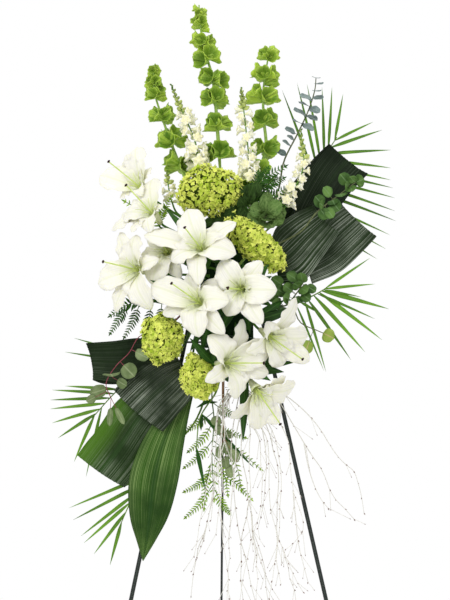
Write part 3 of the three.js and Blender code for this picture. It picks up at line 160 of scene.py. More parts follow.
def at(marks: Marks) -> Array:
    """Find the places seen at picture columns and rows, some millimetres forward of the easel's middle.

    Args:
        marks: Rows of a column, a row and a distance forward.

    Returns:
        An array of places, one row each.
    """
    column, row, forward = np.asarray(marks, float).reshape(-1, 3).T
    forward = forward * 0.001
    near = (EYE_DISTANCE - forward) / EYE_DISTANCE
    side = (column - MIDDLE_COLUMN) * PIXEL * near
    height = EYE_HEIGHT + ((FLOOR_ROW - row) * PIXEL - EYE_HEIGHT) * near
    x = side * math.cos(EYE_TURN) - forward * math.sin(EYE_TURN)
    y = -side * math.sin(EYE_TURN) - forward * math.cos(EYE_TURN)
    return np.column_stack([x, y, height]) + ORIGIN


def facing(across: float, up: float, forward: float) -> Array:
    """Turn a direction given as across the picture, up and forward into the part's own frame.

    Args:
        across: The share across the picture.
        up: The share up.
        forward: The share towards the eye.

    Returns:
        A direction with length one.
    """
    x = across * math.cos(EYE_TURN) - forward * math.sin(EYE_TURN)
    y = -across * math.sin(EYE_TURN) - forward * math.cos(EYE_TURN)
    return unit(np.array([x, y, up]))


def on_easel(across: float, down: float, out: float) -> Array:
    """Find a place of the leaning plane of the front legs, moved out of it by a distance."""
    return ORIGIN + np.array([across, 0.0, EASEL_TOP]) + DOWN * down + OUT * out


def curve(knots: Array, shares: Array) -> Array:
    """Read a smooth curve through knots: a cubic between each two, with slopes set by root distances.

    Args:
        knots: The points that it passes.
        shares: Where to read it, from 0 at its start to 1 at its end.

    Returns:
        One point for each share.
    """
    points = np.vstack([2 * knots[0] - knots[1], knots, 2 * knots[-1] - knots[-2]])
    far = np.clip(shares, 0, 1) * (len(points) - 3)
    run = np.minimum(far.astype(int), len(points) - 4)
    w = (far - run)[:, None]
    a, b, c, d = (points[run + k] for k in range(4))
    gaps = [np.sqrt(np.maximum(np.linalg.norm(q - p, axis=1), 1e-6))[:, None]
            for p, q in ((a, b), (b, c), (c, d))]
    first = ((b - a) / gaps[0] - (c - a) / (gaps[0] + gaps[1]) + (c - b) / gaps[1]) * gaps[1]
    last = ((c - b) / gaps[1] - (d - b) / (gaps[1] + gaps[2]) + (d - c) / gaps[2]) * gaps[1]
    return b + first * w + (3 * (c - b) - 2 * first - last) * w**2 + (2 * (b - c) + first + last) * w**3


@dataclass(frozen=True)
class Stem:
    """A stem from its hole in the foam through the places it passes.

    Attributes:
        mouth: The middle of the hole.
        normal: The way out of the hole.
        places: The places it passes.
    """

    mouth: Array
    normal: Array
    places: Array

    @classmethod
    def grown(cls, hole: Hole, places: Array) -> "Stem":
        """Start a stem in a hole of the foam.

        Args:
            hole: A face of the foam and two distances on it, in millimetres.
            places: The places that the stem passes.

        Returns:
            The stem.
        """
        face, u, v = hole[0], hole[1] * 0.001, hole[2] * 0.001
        mouths = {
            Face.LEFT: (on_easel(-FOAM_HALF_WIDTH, v, u), -ACROSS),
            Face.RIGHT: (on_easel(FOAM_HALF_WIDTH, v, u), ACROSS),
            Face.FRONT: (on_easel(u, v, FOAM_FRONT), OUT),
            Face.TOP: (on_easel(u, FOAM_DOWN[0], v), -DOWN),
            Face.BOTTOM: (on_easel(u, FOAM_DOWN[1], v), DOWN),
        }
        mouth, normal = mouths[face]
        return cls(mouth, normal, np.atleast_2d(places))

    @property
    def knots(self) -> Array:
        """The straight start and the places after it."""
        return np.vstack([self.mouth + self.normal * STEM_STRAIGHT, self.places])

    def path(self, count: int) -> Array:
        """The whole stem as points, with its hidden start inside the foam.

        Args:
            count: Points outside the foam.

        Returns:
            One place in each row.
        """
        hidden = np.vstack([self.mouth - self.normal * STEM_DEPTH, self.mouth - self.normal * 0.008])
        return np.vstack([hidden, curve(self.knots, np.linspace(0, 1, count))])

    def place(self, shares: Array) -> Array:
        """Places along the part of the stem from its first place to its tip.

        Args:
            shares: Shares of that part, from 0 to 1.

        Returns:
            One place for each share.
        """
        first = 1 / len(self.places)
        return curve(self.knots, first + (1 - first) * np.atleast_1d(np.asarray(shares, float)))

    def along(self, shares: Array) -> Array:
        """Directions along that part.

        Args:
            shares: Shares of that part, from 0 to 1.

        Returns:
            One direction for each share.
        """
        shares = np.atleast_1d(np.asarray(shares, float))
        return unit(self.place(np.minimum(shares + 0.02, 1)) - self.place(np.maximum(shares - 0.02, 0)))

    def nearest(self, spots: Array) -> Array:
        """The place of the stem nearest to each spot.

        Args:
            spots: Places near the stem.

        Returns:
            One place of the stem for each spot.
        """
        line = self.place(np.linspace(0, 1, 160))
        gaps = np.linalg.norm(line[None] - np.atleast_2d(spots)[:, None], axis=2)
        return line[gaps.argmin(axis=1)]

    def share_at_row(self, row: float) -> float:
        """How far along the stem a row of the picture is reached, going up.

        Args:
            row: The row of the picture.

        Returns:
            A share from 0 to 1.
        """
        line = self.place(np.linspace(0, 1, 200)) - ORIGIN
        seen = EYE_HEIGHT + (line[:, 2] - EYE_HEIGHT) * EYE_DISTANCE / (EYE_DISTANCE + line[:, 1])
        below = np.flatnonzero(seen <= (FLOOR_ROW - row) * PIXEL)
        return float(below[-1] / 199) if len(below) else 0.0


def branch(knots: Array) -> Stem:
    """A side branch that starts on another stem: its places are the knots after the first.

    Args:
        knots: The place on the other stem, and the places that the branch passes.

    Returns:
        The branch.
    """
    start = unit(knots[1] - knots[0])
    return Stem(knots[0] - start * STEM_STRAIGHT, start, knots[1:])


# Closed surfaces


class Surface:
    """Closed surfaces gathered into one mesh, each with a place on its own map and a tint."""

    def __init__(self) -> None:
        """Start with nothing."""
        self.points: list[Array] = []
        self.maps: list[Array] = []
        self.tints: list[Array] = []
        self.faces: list[Array] = []
        self.slots: list[Array] = []
        self.count = 0

    def add(self, points: Array, faces: list[Array], uv: Array, tint: Array, slot: int = 0) -> None:
        """Add copies of one shape, each turned so that its faces point outwards.

        Args:
            points: Copies by points by x, y and z.
            faces: Arrays of corners, one for each number of sides.
            uv: Points by two, or copies by points by two.
            tint: One number from 0 to 1 for each copy.
            slot: The number of the finish.
        """
        copies, size, _ = points.shape
        volume = np.zeros(copies)
        middle = points.mean(axis=1, keepdims=True)
        for corners in faces:
            p = (points - middle)[:, corners]
            for k in range(1, corners.shape[1] - 1):
                volume += np.einsum("nfi,nfi->n", p[:, :, 0], np.cross(p[:, :, k], p[:, :, k + 1]))
        start = self.count + np.arange(copies)[:, None, None] * size
        for corners in faces:
            turned = np.where((volume < 0)[:, None, None], corners[None, :, ::-1], corners[None]) + start
            self.faces.append(turned.reshape(-1, corners.shape[1]))
            self.slots.append(np.full(copies * len(corners), slot))
        self.points.append(points.reshape(-1, 3))
        self.maps.append(np.broadcast_to(uv, (copies, size, 2)).reshape(-1, 2))
        self.tints.append(np.repeat(np.broadcast_to(tint, (copies,)), size))
        self.count += copies * size

    def piece(self, name: str, finishes: Sequence["Finish"], node: str,
              body: Body = Body.ARRANGEMENT) -> bpy.types.Object:
        """Make the object of this mesh, dressed, riding on its body and standing for its node.

        Args:
            name: The object's name.
            finishes: Its finishes in the order of their numbers.
            node: The node that it replaces.
            body: The body that it rides on.

        Returns:
            The new object.
        """
        points = np.vstack(self.points).astype(np.float32)
        sizes = np.concatenate([np.full(len(f), f.shape[1]) for f in self.faces]).astype(np.int32)
        corners = np.concatenate([f.ravel() for f in self.faces]).astype(np.int32)
        mesh = bpy.data.meshes.new(name)
        mesh.vertices.add(len(points))
        mesh.vertices.foreach_set("co", points.ravel())
        mesh.loops.add(len(corners))
        mesh.loops.foreach_set("vertex_index", corners)
        mesh.polygons.add(len(sizes))
        starts = np.concatenate([[0], np.cumsum(sizes)[:-1]]).astype(np.int32)
        mesh.polygons.foreach_set("loop_start", starts)
        mesh.polygons.foreach_set("loop_total", sizes)
        mesh.polygons.foreach_set("material_index", np.concatenate(self.slots).astype(np.int32))
        mesh.polygons.foreach_set("use_smooth", np.ones(len(sizes), bool))
        maps = np.vstack(self.maps).astype(np.float32)
        mesh.uv_layers.new(name="UVMap").data.foreach_set("uv", maps[corners].ravel())
        tint = mesh.attributes.new("tint", "FLOAT", "POINT")
        tint.data.foreach_set("value", np.concatenate(self.tints).astype(np.float32))
        for finish in finishes:
            mesh.materials.append(finish.material())
        mesh.update(calc_edges=True)
        mesh.validate()
        piece = bpy.data.objects.new(name, mesh)
        bpy.context.scene.collection.objects.link(piece)
        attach(piece, body.value)
        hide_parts(node)
        LOG.info("%s: %d faces, replaces %s", name, len(sizes), node)
        return piece


def ring_faces(rings: int, sides: int, closed: bool = False) -> list[Array]:
    """Corners of a stack of rings: quads between rings, and a cap on each end or a join of last and first.

    Args:
        rings: How many rings.
        sides: Points in each.
        closed: Whether the last ring joins the first, as on a hoop.

    Returns:
        The quads and, if it isn't closed, the two caps.
    """
    ring = np.arange(rings if closed else rings - 1)[:, None] * sides
    after = (ring + sides) % (rings * sides)
    j = np.arange(sides)[None]
    i = (j + 1) % sides
    quads = np.stack([ring + j, ring + i, after + i, after + j], axis=-1).reshape(-1, 4)
    if closed:
        return [quads]
    last = (rings - 1) * sides
    return [quads, np.vstack([np.arange(sides)[::-1], last + np.arange(sides)])]


def sheet_faces(rows: int, columns: int) -> list[Array]:
    """Corners of a thin closed sheet: a front grid, a back grid and the rim that joins them.

    Args:
        rows: Points along the sheet.
        columns: Points across it.

    Returns:
        The quads, in one array.
    """
    k = np.arange(rows - 1)[:, None] * columns + np.arange(columns - 1)[None]
    front = np.stack([k, k + 1, k + columns + 1, k + columns], axis=-1).reshape(-1, 4)
    size = rows * columns
    back = front[:, ::-1] + size
    first = np.arange(columns)
    right = np.arange(1, rows) * columns + columns - 1
    last = (rows - 1) * columns + np.arange(columns - 2, -1, -1)
    left = np.arange(rows - 2, 0, -1) * columns
    rim = np.concatenate([first, right, last, left])
    after = np.roll(rim, -1)
    edge = np.stack([after, rim, rim + size, after + size], axis=-1)
    return [np.vstack([front, back, edge])]


def add_sheets(surface: Surface, middles: Array, thick: float, tint: Array, slot: int = 0) -> None:
    """Add thin closed sheets about middle surfaces: each is moved out along its normal to both sides.

    Args:
        surface: Where they go.
        middles: Copies by rows by columns by x, y and z.
        thick: Their thickness at the middle; the rim is thinner.
        tint: One number for each copy.
        slot: The number of the finish.
    """
    copies, rows, columns, _ = middles.shape
    normal = unit(np.cross(np.gradient(middles, axis=1), np.gradient(middles, axis=2)))
    s = np.abs(np.linspace(-1, 1, columns))
    t = np.abs(np.linspace(-1, 1, rows))
    body = np.minimum(1 - 0.65 * s**4, (1 - 0.5 * t**8)[:, None]) * thick / 2
    offset = normal * body[None, :, :, None]
    points = np.stack([middles + offset, middles - offset], axis=1).reshape(copies, -1, 3)
    surface.add(points, sheet_faces(rows, columns), np.tile(grid_map(rows, columns), (2, 1)), tint, slot)


def add_tubes(surface: Surface, paths: Array, radii: Array, sides: int, tint: Array, slot: int = 0) -> None:
    """Add round rods along paths: circles square to the path, set out from the normal of its best plane.

    Args:
        surface: Where they go.
        paths: Copies by points by x, y and z.
        radii: A radius for each point, with or without copies.
        sides: Points in each circle.
        tint: One number for each copy.
        slot: The number of the finish.
    """
    copies, count, _ = paths.shape
    along = unit(np.gradient(paths, axis=1))
    flat = np.linalg.svd(paths - paths.mean(axis=1, keepdims=True), full_matrices=True)[2][:, 2][:, None]
    side = unit(flat - along * np.sum(along * flat, axis=-1, keepdims=True))
    other = np.cross(along, side)
    turn = np.linspace(0, 2 * np.pi, sides, endpoint=False)
    radius = np.broadcast_to(radii, (copies, count))[:, :, None, None]
    spokes = wheel(turn[:, None], side[:, :, None], other[:, :, None])
    points = (paths[:, :, None] + spokes * radius).reshape(copies, -1, 3)
    surface.add(points, ring_faces(count, sides), grid_map(count, sides, round_off=True), tint, slot)


@dataclass(frozen=True)
class CupShape:
    """The form of a small turned body with lobes, such as a floret, a bell or a bud.

    Attributes:
        profile: Rows of a share of the depth and a share of the radius, from the root round the rim and in.
        sides: Points in each ring.
        lobes: How many lobes the rim has.
        swell: How far a lobe stands out, as a share of the radius.
        lift: How far a lobe stands up, as a share of the radius.
        fray: A second, finer wave of the rim.
    """

    profile: tuple[tuple[float, float], ...]
    sides: int = 12
    lobes: int = 0
    swell: float = 0.0
    lift: float = 0.0
    fray: float = 0.0

    def add(self, surface: Surface, root: Array, axis: Array, depth: Array, radius: Array,
            rng: np.random.Generator,
            tint: Array, slot: int = 0) -> None:
        """Add copies: a profile turned about each axis, radius and height following cosines of the turn.

        Args:
            surface: Where they go.
            root: The roots of the copies.
            axis: Their axes.
            depth: Their depths.
            radius: Their radii.
            rng: The source of their turns.
            tint: One number for each copy.
            slot: The number of the finish.
        """
        copies = len(root)
        axis = unit(np.broadcast_to(axis, root.shape))
        helper = np.where(np.abs(axis[:, 2:3]) > 0.9, ACROSS, UP)
        side = unit(np.cross(axis, helper))
        other = np.cross(axis, side)
        turn = np.linspace(0, 2 * np.pi, self.sides, endpoint=False)[None]
        phase = rng.uniform(0, 2 * np.pi, (copies, 1))
        wave = np.cos(self.lobes * turn + phase)
        fine = np.cos((2 * self.lobes + 1) * turn + 2 * phase)
        high, far = np.array(self.profile).T
        reach = np.minimum(far, 1)[None, :, None] ** 2
        swell = 1 + (self.swell * wave + self.fray * fine)[:, None] * reach
        depth, radius = (np.broadcast_to(v, (copies,))[:, None, None] for v in (depth, radius))
        rise = depth * high[None, :, None] + radius * self.lift * wave[:, None] * reach
        out = radius * far[None, :, None] * swell
        spokes = wheel(turn[0][:, None], side[:, None, None], other[:, None, None])
        points = root[:, None, None] + axis[:, None, None] * rise[..., None] + spokes * out[..., None]
        uv = grid_map(len(high), self.sides, round_off=True)
        surface.add(points.reshape(copies, -1, 3), ring_faces(len(high), self.sides), uv, tint, slot)


@dataclass(frozen=True)
class LeafShape:
    """The form of a leaf: how its width runs from root to tip and how it bends.

    Attributes:
        outline: Width as a share of the widest, for shares of the length.
        rows: Points along it.
        columns: Points across it.
        cup: How far its edges rise, as a share of its half width.
        keel: How sharply its two halves fold, as a share of its half width.
        wave: How far its edge waves, as a share of its half width.
        bend: How far its middle bows, as a share of its length.
        thick: Its thickness.
    """

    outline: Callable[[Array], Array]
    rows: int = 12
    columns: int = 5
    cup: float = 0.0
    keel: float = 0.0
    wave: float = 0.0
    bend: float = 0.0
    thick: float = 0.0007

    def add(self, surface: Surface, root: Array, tip: Array, wide: Array, half: Array,
            rng: np.random.Generator,
            slot: int = 0) -> None:
        """Add leaves: a bowed line from root to tip, with a width across it that follows the outline.

        Args:
            surface: Where they go.
            root: Their roots.
            tip: Their tips.
            wide: Directions across them.
            half: Half of their widths.
            rng: The source of their waves and tints.
            slot: The number of the finish.
        """
        root, tip = np.atleast_2d(root), np.atleast_2d(tip)
        copies = len(root)
        length = np.linalg.norm(tip - root, axis=1)[:, None, None]
        along = unit(tip - root)
        wide = np.broadcast_to(wide, root.shape)
        wide = unit(wide - along * np.sum(wide * along, axis=1, keepdims=True))
        normal = np.cross(wide, along)
        t = np.linspace(0, 1, self.rows)[None, :, None]
        s = np.linspace(-1, 1, self.columns)[None, None]
        width = np.broadcast_to(half, (copies,))[:, None, None] * np.maximum(self.outline(t), 0.02)
        bow = self.bend * rng.uniform(0.6, 1.3, (copies, 1, 1)) * length * 4 * t * (1 - t)
        phase = rng.uniform(0, 2 * np.pi, (copies, 1, 1))
        edge = self.cup * s**2 + self.keel * np.abs(s) + self.wave * np.sin(9 * t + phase + 2 * s) * s**2
        lift = bow + edge * width
        middle = root[:, None, None] + (tip - root)[:, None, None] * t[..., None]
        points = (middle + wide[:, None, None] * (width * s)[..., None]
                  + normal[:, None, None] * lift[..., None])
        add_sheets(surface, points, self.thick, rng.uniform(0, 1, copies), slot)


# Finishes


def colour(code: str) -> tuple[float, float, float, float]:
    """Turn a web colour into the linear one that shaders take.

    Args:
        code: Six hexadecimal digits.

    Returns:
        Red, green, blue and alpha.
    """
    shown = np.array([int(code[k : k + 2], 16) for k in (0, 2, 4)]) / 255
    linear = np.where(shown <= 0.04045, shown / 12.92, ((shown + 0.055) / 1.055) ** 2.4)
    return (*linear.tolist(), 1.0)


def add_node(tree: bpy.types.NodeTree, kind: str, inputs: dict | None = None,
             **settings: object) -> bpy.types.Node:
    """Add a shader node, set it, and set or link its inputs.

    Args:
        tree: The node tree.
        kind: The node's type name.
        inputs: Values or sockets by the name or number of the input.
        settings: Properties of the node.

    Returns:
        The new node.
    """
    made = tree.nodes.new(kind)
    for key, value in settings.items():
        setattr(made, key, value)
    for key, value in (inputs or {}).items():
        if isinstance(value, bpy.types.NodeSocket):
            tree.links.new(value, made.inputs[key])
        else:
            made.inputs[key].default_value = value
    return made


def maths(tree: bpy.types.NodeTree, operation: str, a: Given, b: Given = 0.0,
          clamp: bool = False) -> bpy.types.NodeSocket:
    """Add a Math node and give its result."""
    made = add_node(tree, "ShaderNodeMath", {0: a, 1: b}, operation=operation, use_clamp=clamp)
    return made.outputs[0]


def mixed(tree: bpy.types.NodeTree, share: Given, a: Given, b: Given) -> bpy.types.NodeSocket:
    """Mix two colours by a share and give the result."""
    made = add_node(tree, "ShaderNodeMix", {0: share, 6: a, 7: b}, data_type="RGBA")
    return made.outputs[2]


def ramp(tree: bpy.types.NodeTree, value: Given, low: float, high: float) -> bpy.types.NodeSocket:
    """Spread a value from low to high over 0 to 1."""
    made = add_node(tree, "ShaderNodeMapRange", {0: value, 1: low, 2: high}, interpolation_type="SMOOTHSTEP")
    return made.outputs[0]


def fade(tree: bpy.types.NodeTree, value: Given, low: float, high: float) -> bpy.types.NodeSocket:
    """Spread a value from low to high over 1 to 0."""
    return maths(tree, "SUBTRACT", 1.0, ramp(tree, value, low, high))


def noise_at(tree: bpy.types.NodeTree, place: Given, scale: Given, detail: float) -> bpy.types.NodeSocket:
    """Add a Noise Texture node and give its value."""
    return add_node(tree, "ShaderNodeTexNoise",
                    {"Vector": place, "Scale": scale, "Detail": detail}).outputs[0]


def group(name: str, inputs: dict[str, float], outputs: Sequence[str]) -> bpy.types.NodeTree:
    """Make an empty node group with these inputs and outputs.

    Args:
        name: The group's name.
        inputs: A value for the name of each.
        outputs: Their names; one named Normal is a vector.

    Returns:
        The group's tree, with its input and output nodes named so.
    """
    tree = bpy.data.node_groups.new(name, "ShaderNodeTree")
    for title, value in inputs.items():
        socket = tree.interface.new_socket(title, in_out="INPUT", socket_type="NodeSocketFloat")
        socket.default_value = value
    for title in outputs:
        kind = "NodeSocketVector" if title == "Normal" else "NodeSocketFloat"
        tree.interface.new_socket(title, in_out="OUTPUT", socket_type=kind)
    add_node(tree, "NodeGroupInput", name="in")
    add_node(tree, "NodeGroupOutput", name="out")
    return tree


def put_out(tree: bpy.types.NodeTree, values: dict[str, bpy.types.NodeSocket]) -> bpy.types.NodeTree:
    """Link each value to the group's output of its name, and give the group."""
    for title, value in values.items():
        tree.links.new(value, tree.nodes["out"].inputs[title])
    return tree


class Effect(Enum):
    """Surface effects that several finishes share."""

    VEINS = "fine veins along a leaf"
    MOTTLE = "soft patches and a fine skin"
    LEAF_MAP = "edge, midrib and root of a leaf"
    PAINT = "paint with worn high spots"

    def tree(self) -> bpy.types.NodeTree:
        """Give the node group of this effect, making it the first time.

        Returns:
            The group.
        """
        found = bpy.data.node_groups.get(self.value)
        if found:
            return found
        makers = {
            Effect.VEINS: veins_tree,
            Effect.MOTTLE: mottle_tree,
            Effect.LEAF_MAP: leaf_map_tree,
            Effect.PAINT: paint_tree,
        }
        return makers[self](self.value)

    def use(self, tree: bpy.types.NodeTree, inputs: dict[str, Given] | None = None) -> bpy.types.Node:
        """Add this effect to a material's tree."""
        return add_node(tree, "ShaderNodeGroup", inputs, node_tree=self.tree())


def veins_tree(name: str) -> bpy.types.NodeTree:
    """Make the group of veins: noise drawn out along the leaf's map, as a value and as a bumped normal.

    Args:
        name: The group's name.

    Returns:
        The group.
    """
    tree = group(name, {"Along": 3, "Across": 60, "Depth": 0.3}, ("Value", "Normal"))
    given = tree.nodes["in"].outputs
    uv = add_node(tree, "ShaderNodeUVMap", uv_map="UVMap")
    parts = add_node(tree, "ShaderNodeSeparateXYZ", {0: uv.outputs[0]}).outputs
    tint = add_node(tree, "ShaderNodeAttribute", attribute_name="tint")
    place = add_node(tree, "ShaderNodeCombineXYZ", {
        0: maths(tree, "MULTIPLY", parts[0], given["Along"]),
        1: maths(tree, "MULTIPLY", parts[1], given["Across"]),
        2: maths(tree, "MULTIPLY", tint.outputs["Fac"], 40.0),
    })
    value = ramp(tree, noise_at(tree, place.outputs[0], 1.0, 2.0), 0.3, 0.7)
    bump = add_node(tree, "ShaderNodeBump", {"Strength": given["Depth"], "Distance": 0.0008, "Height": value})
    return put_out(tree, {"Value": value, "Normal": bump.outputs[0]})


def mottle_tree(name: str) -> bpy.types.NodeTree:
    """Make the group of mottle: two sizes of noise on object coordinates, the finer one as a bumped normal.

    Args:
        name: The group's name.

    Returns:
        The group.
    """
    tree = group(name, {"Scale": 60, "Depth": 0.15}, ("Value", "Normal"))
    given = tree.nodes["in"].outputs
    place = add_node(tree, "ShaderNodeTexCoord").outputs["Object"]
    broad = noise_at(tree, place, given["Scale"], 3.0)
    fine = noise_at(tree, place, maths(tree, "MULTIPLY", given["Scale"], 9.0), 2.0)
    bump = add_node(tree, "ShaderNodeBump", {"Strength": given["Depth"], "Distance": 0.0006, "Height": fine})
    return put_out(tree, {"Value": ramp(tree, broad, 0.3, 0.7), "Normal": bump.outputs[0]})


def leaf_map_tree(name: str) -> bpy.types.NodeTree:
    """Make the group of masks, read from a piece's own map.

    They are a leaf's edge, side, midrib and root and a cup's rim and inside.

    Args:
        name: The group's name.

    Returns:
        The group.
    """
    tree = group(name, {}, ("Edge", "Side", "Midrib", "Root", "Inside", "Rim"))
    uv = add_node(tree, "ShaderNodeUVMap", uv_map="UVMap")
    along, across, _ = add_node(tree, "ShaderNodeSeparateXYZ", {0: uv.outputs[0]}).outputs
    off_middle = maths(tree, "ABSOLUTE", maths(tree, "SUBTRACT", across, 0.5))
    off_rim = maths(tree, "ABSOLUTE", maths(tree, "SUBTRACT", along, 0.5))
    return put_out(tree, {
        "Edge": ramp(tree, off_middle, 0.3, 0.5),
        "Side": fade(tree, across, 0.02, 0.5),
        "Midrib": fade(tree, off_middle, 0.012, 0.07),
        "Root": fade(tree, along, 0.0, 0.4),
        "Inside": ramp(tree, along, 0.52, 0.7),
        "Rim": fade(tree, off_rim, 0.02, 0.12),
    })


def paint_tree(name: str) -> bpy.types.NodeTree:
    """Make the group of paint: a fine orange-peel normal, and a mask of high spots from pointiness and noise.

    Args:
        name: The group's name.

    Returns:
        The group.
    """
    tree = group(name, {"Scale": 300}, ("Wear", "Normal"))
    place = add_node(tree, "ShaderNodeTexCoord").outputs["Object"]
    noise = noise_at(tree, place, tree.nodes["in"].outputs["Scale"], 3.0)
    high = ramp(tree, add_node(tree, "ShaderNodeNewGeometry").outputs["Pointiness"], 0.52, 0.6)
    wear = maths(tree, "MULTIPLY", high, ramp(tree, noise, 0.4, 0.6))
    bump = add_node(tree, "ShaderNodeBump", {"Strength": 0.25, "Distance": 0.0004, "Height": noise})
    return put_out(tree, {"Wear": wear, "Normal": bump.outputs[0]})


def new_material(title: str) -> tuple[bpy.types.Material, bpy.types.NodeTree, bpy.types.Node]:
    """Start a material.

    Args:
        title: Its name.

    Returns:
        The material, its tree and its Principled shader.
    """
    made = bpy.data.materials.new(title)
    made.use_nodes = True
    return made, made.node_tree, made.node_tree.nodes["Principled BSDF"]


def set_sockets(shader: bpy.types.Node, values: dict[str, Given]) -> None:
    """Set constants on the shader's own sockets."""
    for title, value in values.items():
        shader.inputs[title].default_value = value


@dataclass(frozen=True)
class Finish:
    """A finish of living tissue or of plain material.

    Attributes:
        name: The material's name.
        slot: The record's slot that it belongs to; not used.
        deep: The darker colour.
        pale: The lighter colour, where its tint and patches are high.
        roughness: The shader's roughness.
        root: The colour at a leaf's root, and how strong it is; on the hydrangea florets it is their greener
            base, darkened as painted shade deep in the head.
        midrib: The colour of the midrib, and how strong it is.
        edge: The colour of the edge, and how strong it is.
        one_side: The colour of one side of a leaf, and how strong it is; on the bright aspidistra leaf it is
            a painted lit half.
        inside: The colour of the inside of a cup, and how strong it is; on the bells it is painted shade in
            the cup's hollow.
        rim: The colour of a cup's rim, and how strong it is.
        streak: The colour of veins, and how strong they are; on the aspidistra leaves it is painted highlight
            lines along the fine ribs.
        banded: Whether the streak colour shows only in broad bands, as painted highlights where light catches
            a curved leaf.
        along: Veins along a leaf.
        across: Veins across it.
        vein_depth: How deep veins are.
        patches: The scale of its patches.
        skin: How deep its fine skin is.
        glow: How much light passes beneath its surface.
        gloss: How strong its highlights are.
        sheen: A velvety sheen.
    """

    name: str
    slot: str
    deep: str
    pale: str
    roughness: float = 0.5
    root: Wash = NO_WASH
    midrib: Wash = NO_WASH
    edge: Wash = NO_WASH
    one_side: Wash = NO_WASH
    inside: Wash = NO_WASH
    rim: Wash = NO_WASH
    streak: Wash = NO_WASH
    banded: bool = False
    along: float = 3.0
    across: float = 60.0
    vein_depth: float = 0.3
    patches: float = 60.0
    skin: float = 0.15
    glow: float = 0.0
    gloss: float = 0.15
    sheen: float = 0.0

    def material(self) -> bpy.types.Material:
        """Give the material of this finish, making it the first time.

        Returns:
            A material that runs from deep to pale by tint and patches, with veins and zones over it.
        """
        title = f"{self.name}_finish"
        found = bpy.data.materials.get(title)
        if found:
            return found
        made, tree, shader = new_material(title)
        mottle = Effect.MOTTLE.use(tree, {"Scale": self.patches, "Depth": self.skin})
        tint = add_node(tree, "ShaderNodeAttribute", attribute_name="tint")
        patches = maths(tree, "MULTIPLY", mottle.outputs["Value"], 0.5)
        share = maths(tree, "ADD", maths(tree, "MULTIPLY", tint.outputs["Fac"], 0.6), patches, clamp=True)
        shown = mixed(tree, share, colour(self.deep), colour(self.pale))
        normal = mottle.outputs["Normal"]
        # Streak colour over the vein pattern: the veins' own colour on most finishes, but painted highlight
        # lines on the aspidistra leaves, where banded limits them to broad patches of painted highlight.
        if self.streak[1] or self.vein_depth:
            veins = Effect.VEINS.use(tree,
                                     {"Along": self.along, "Across": self.across, "Depth": self.vein_depth})
            strength = maths(tree, "MULTIPLY", veins.outputs["Value"], self.streak[1])
            if self.banded:
                strength = maths(tree, "MULTIPLY", maths(tree, "POWER", strength, 2.6),
                                 mottle.outputs["Value"])
            shown = mixed(tree, strength, shown, colour(self.streak[0]))
            normal = veins.outputs["Normal"]
        leaf = Effect.LEAF_MAP.use(tree)
        # Zone colours: real tones, except painted shade in the bells' cups, painted shade mixed into the
        # hydrangea florets' roots, and a painted lit half on the bright aspidistra leaf.
        zones = (("Edge", self.edge), ("Side", self.one_side), ("Midrib", self.midrib), ("Root", self.root),
                 ("Inside", self.inside), ("Rim", self.rim))
        for mask, (code, strength) in zones:
            if strength:
                shown = mixed(tree, maths(tree, "MULTIPLY", leaf.outputs[mask], strength), shown,
                              colour(code))
        tree.links.new(shown, shader.inputs["Base Color"])
        tree.links.new(normal, shader.inputs["Normal"])
        worn = maths(tree, "MULTIPLY", mottle.outputs["Value"], 0.12)
        tree.links.new(maths(tree, "ADD", worn, self.roughness - 0.06, clamp=True),
                       shader.inputs["Roughness"])
        set_sockets(shader, {"Subsurface Weight": self.glow, "Subsurface Radius": (0.006, 0.006, 0.003),
                             "Subsurface Scale": 1.0, "Specular IOR Level": self.gloss,
                             "Sheen Weight": self.sheen})
        return made


@dataclass(frozen=True)
class PaintedMetal:
    """Painted wire with worn high spots.

    Attributes:
        name: The material's name.
        slot: The record's slot; not used.
        paint: Its colour.
        bare: The colour where it is worn.
        roughness: The shader's roughness.
    """

    name: str
    slot: str
    paint: str
    bare: str
    roughness: float = 0.35

    def material(self) -> bpy.types.Material:
        """Give the material of this finish, making it the first time."""
        title = f"{self.name}_finish"
        found = bpy.data.materials.get(title)
        if found:
            return found
        made, tree, shader = new_material(title)
        paint = Effect.PAINT.use(tree)
        tree.links.new(mixed(tree, paint.outputs["Wear"], colour(self.paint), colour(self.bare)),
                       shader.inputs["Base Color"])
        tree.links.new(paint.outputs["Normal"], shader.inputs["Normal"])
        rough = maths(tree, "MULTIPLY_ADD", paint.outputs["Wear"], 0.2)
        rough.node.inputs[2].default_value = self.roughness
        tree.links.new(rough, shader.inputs["Roughness"])
        set_sockets(shader, {"Metallic": 0.15, "Coat Weight": 0.1, "Coat Roughness": 0.2})
        return made


PETAL = Finish("lily_petal", "lily_petal", "f5f2df", "fcfaea", 0.55, root=("d3df96", 0.5),
               midrib=("e4e8c0", 0.45),
               streak=("e4e3d2", 0.45), along=2, across=30, vein_depth=0.4, patches=25, glow=0.25, gloss=0.15)
TRUMPET = Finish("lily_trumpet", "lily_petal", "dfe3b4", "e9ecc8", 0.5, streak=("b9c979", 0.5), across=12,
                 glow=0.2)
LILY_GREEN = Finish("lily_stem_green", "lily_green", "2f5a18", "5f8c34", 0.5, vein_depth=0, patches=80)
PISTIL_GREEN = Finish("lily_pistil", "lily_green", "a9c25a", "d3df8c", 0.4, vein_depth=0, glow=0.2)
STIGMA = Finish("lily_stigma", "lily_green", "1c0c0e", "3a1a1a", 0.5, vein_depth=0, patches=400, skin=0.6)
LILY_LEAF = Finish("lily_leaf", "lily_green", "12280c", "2f5a1c", 0.45, midrib=("4f7a34", 0.5),
                   streak=("3f6a28", 0.35),
                   across=18, patches=40)
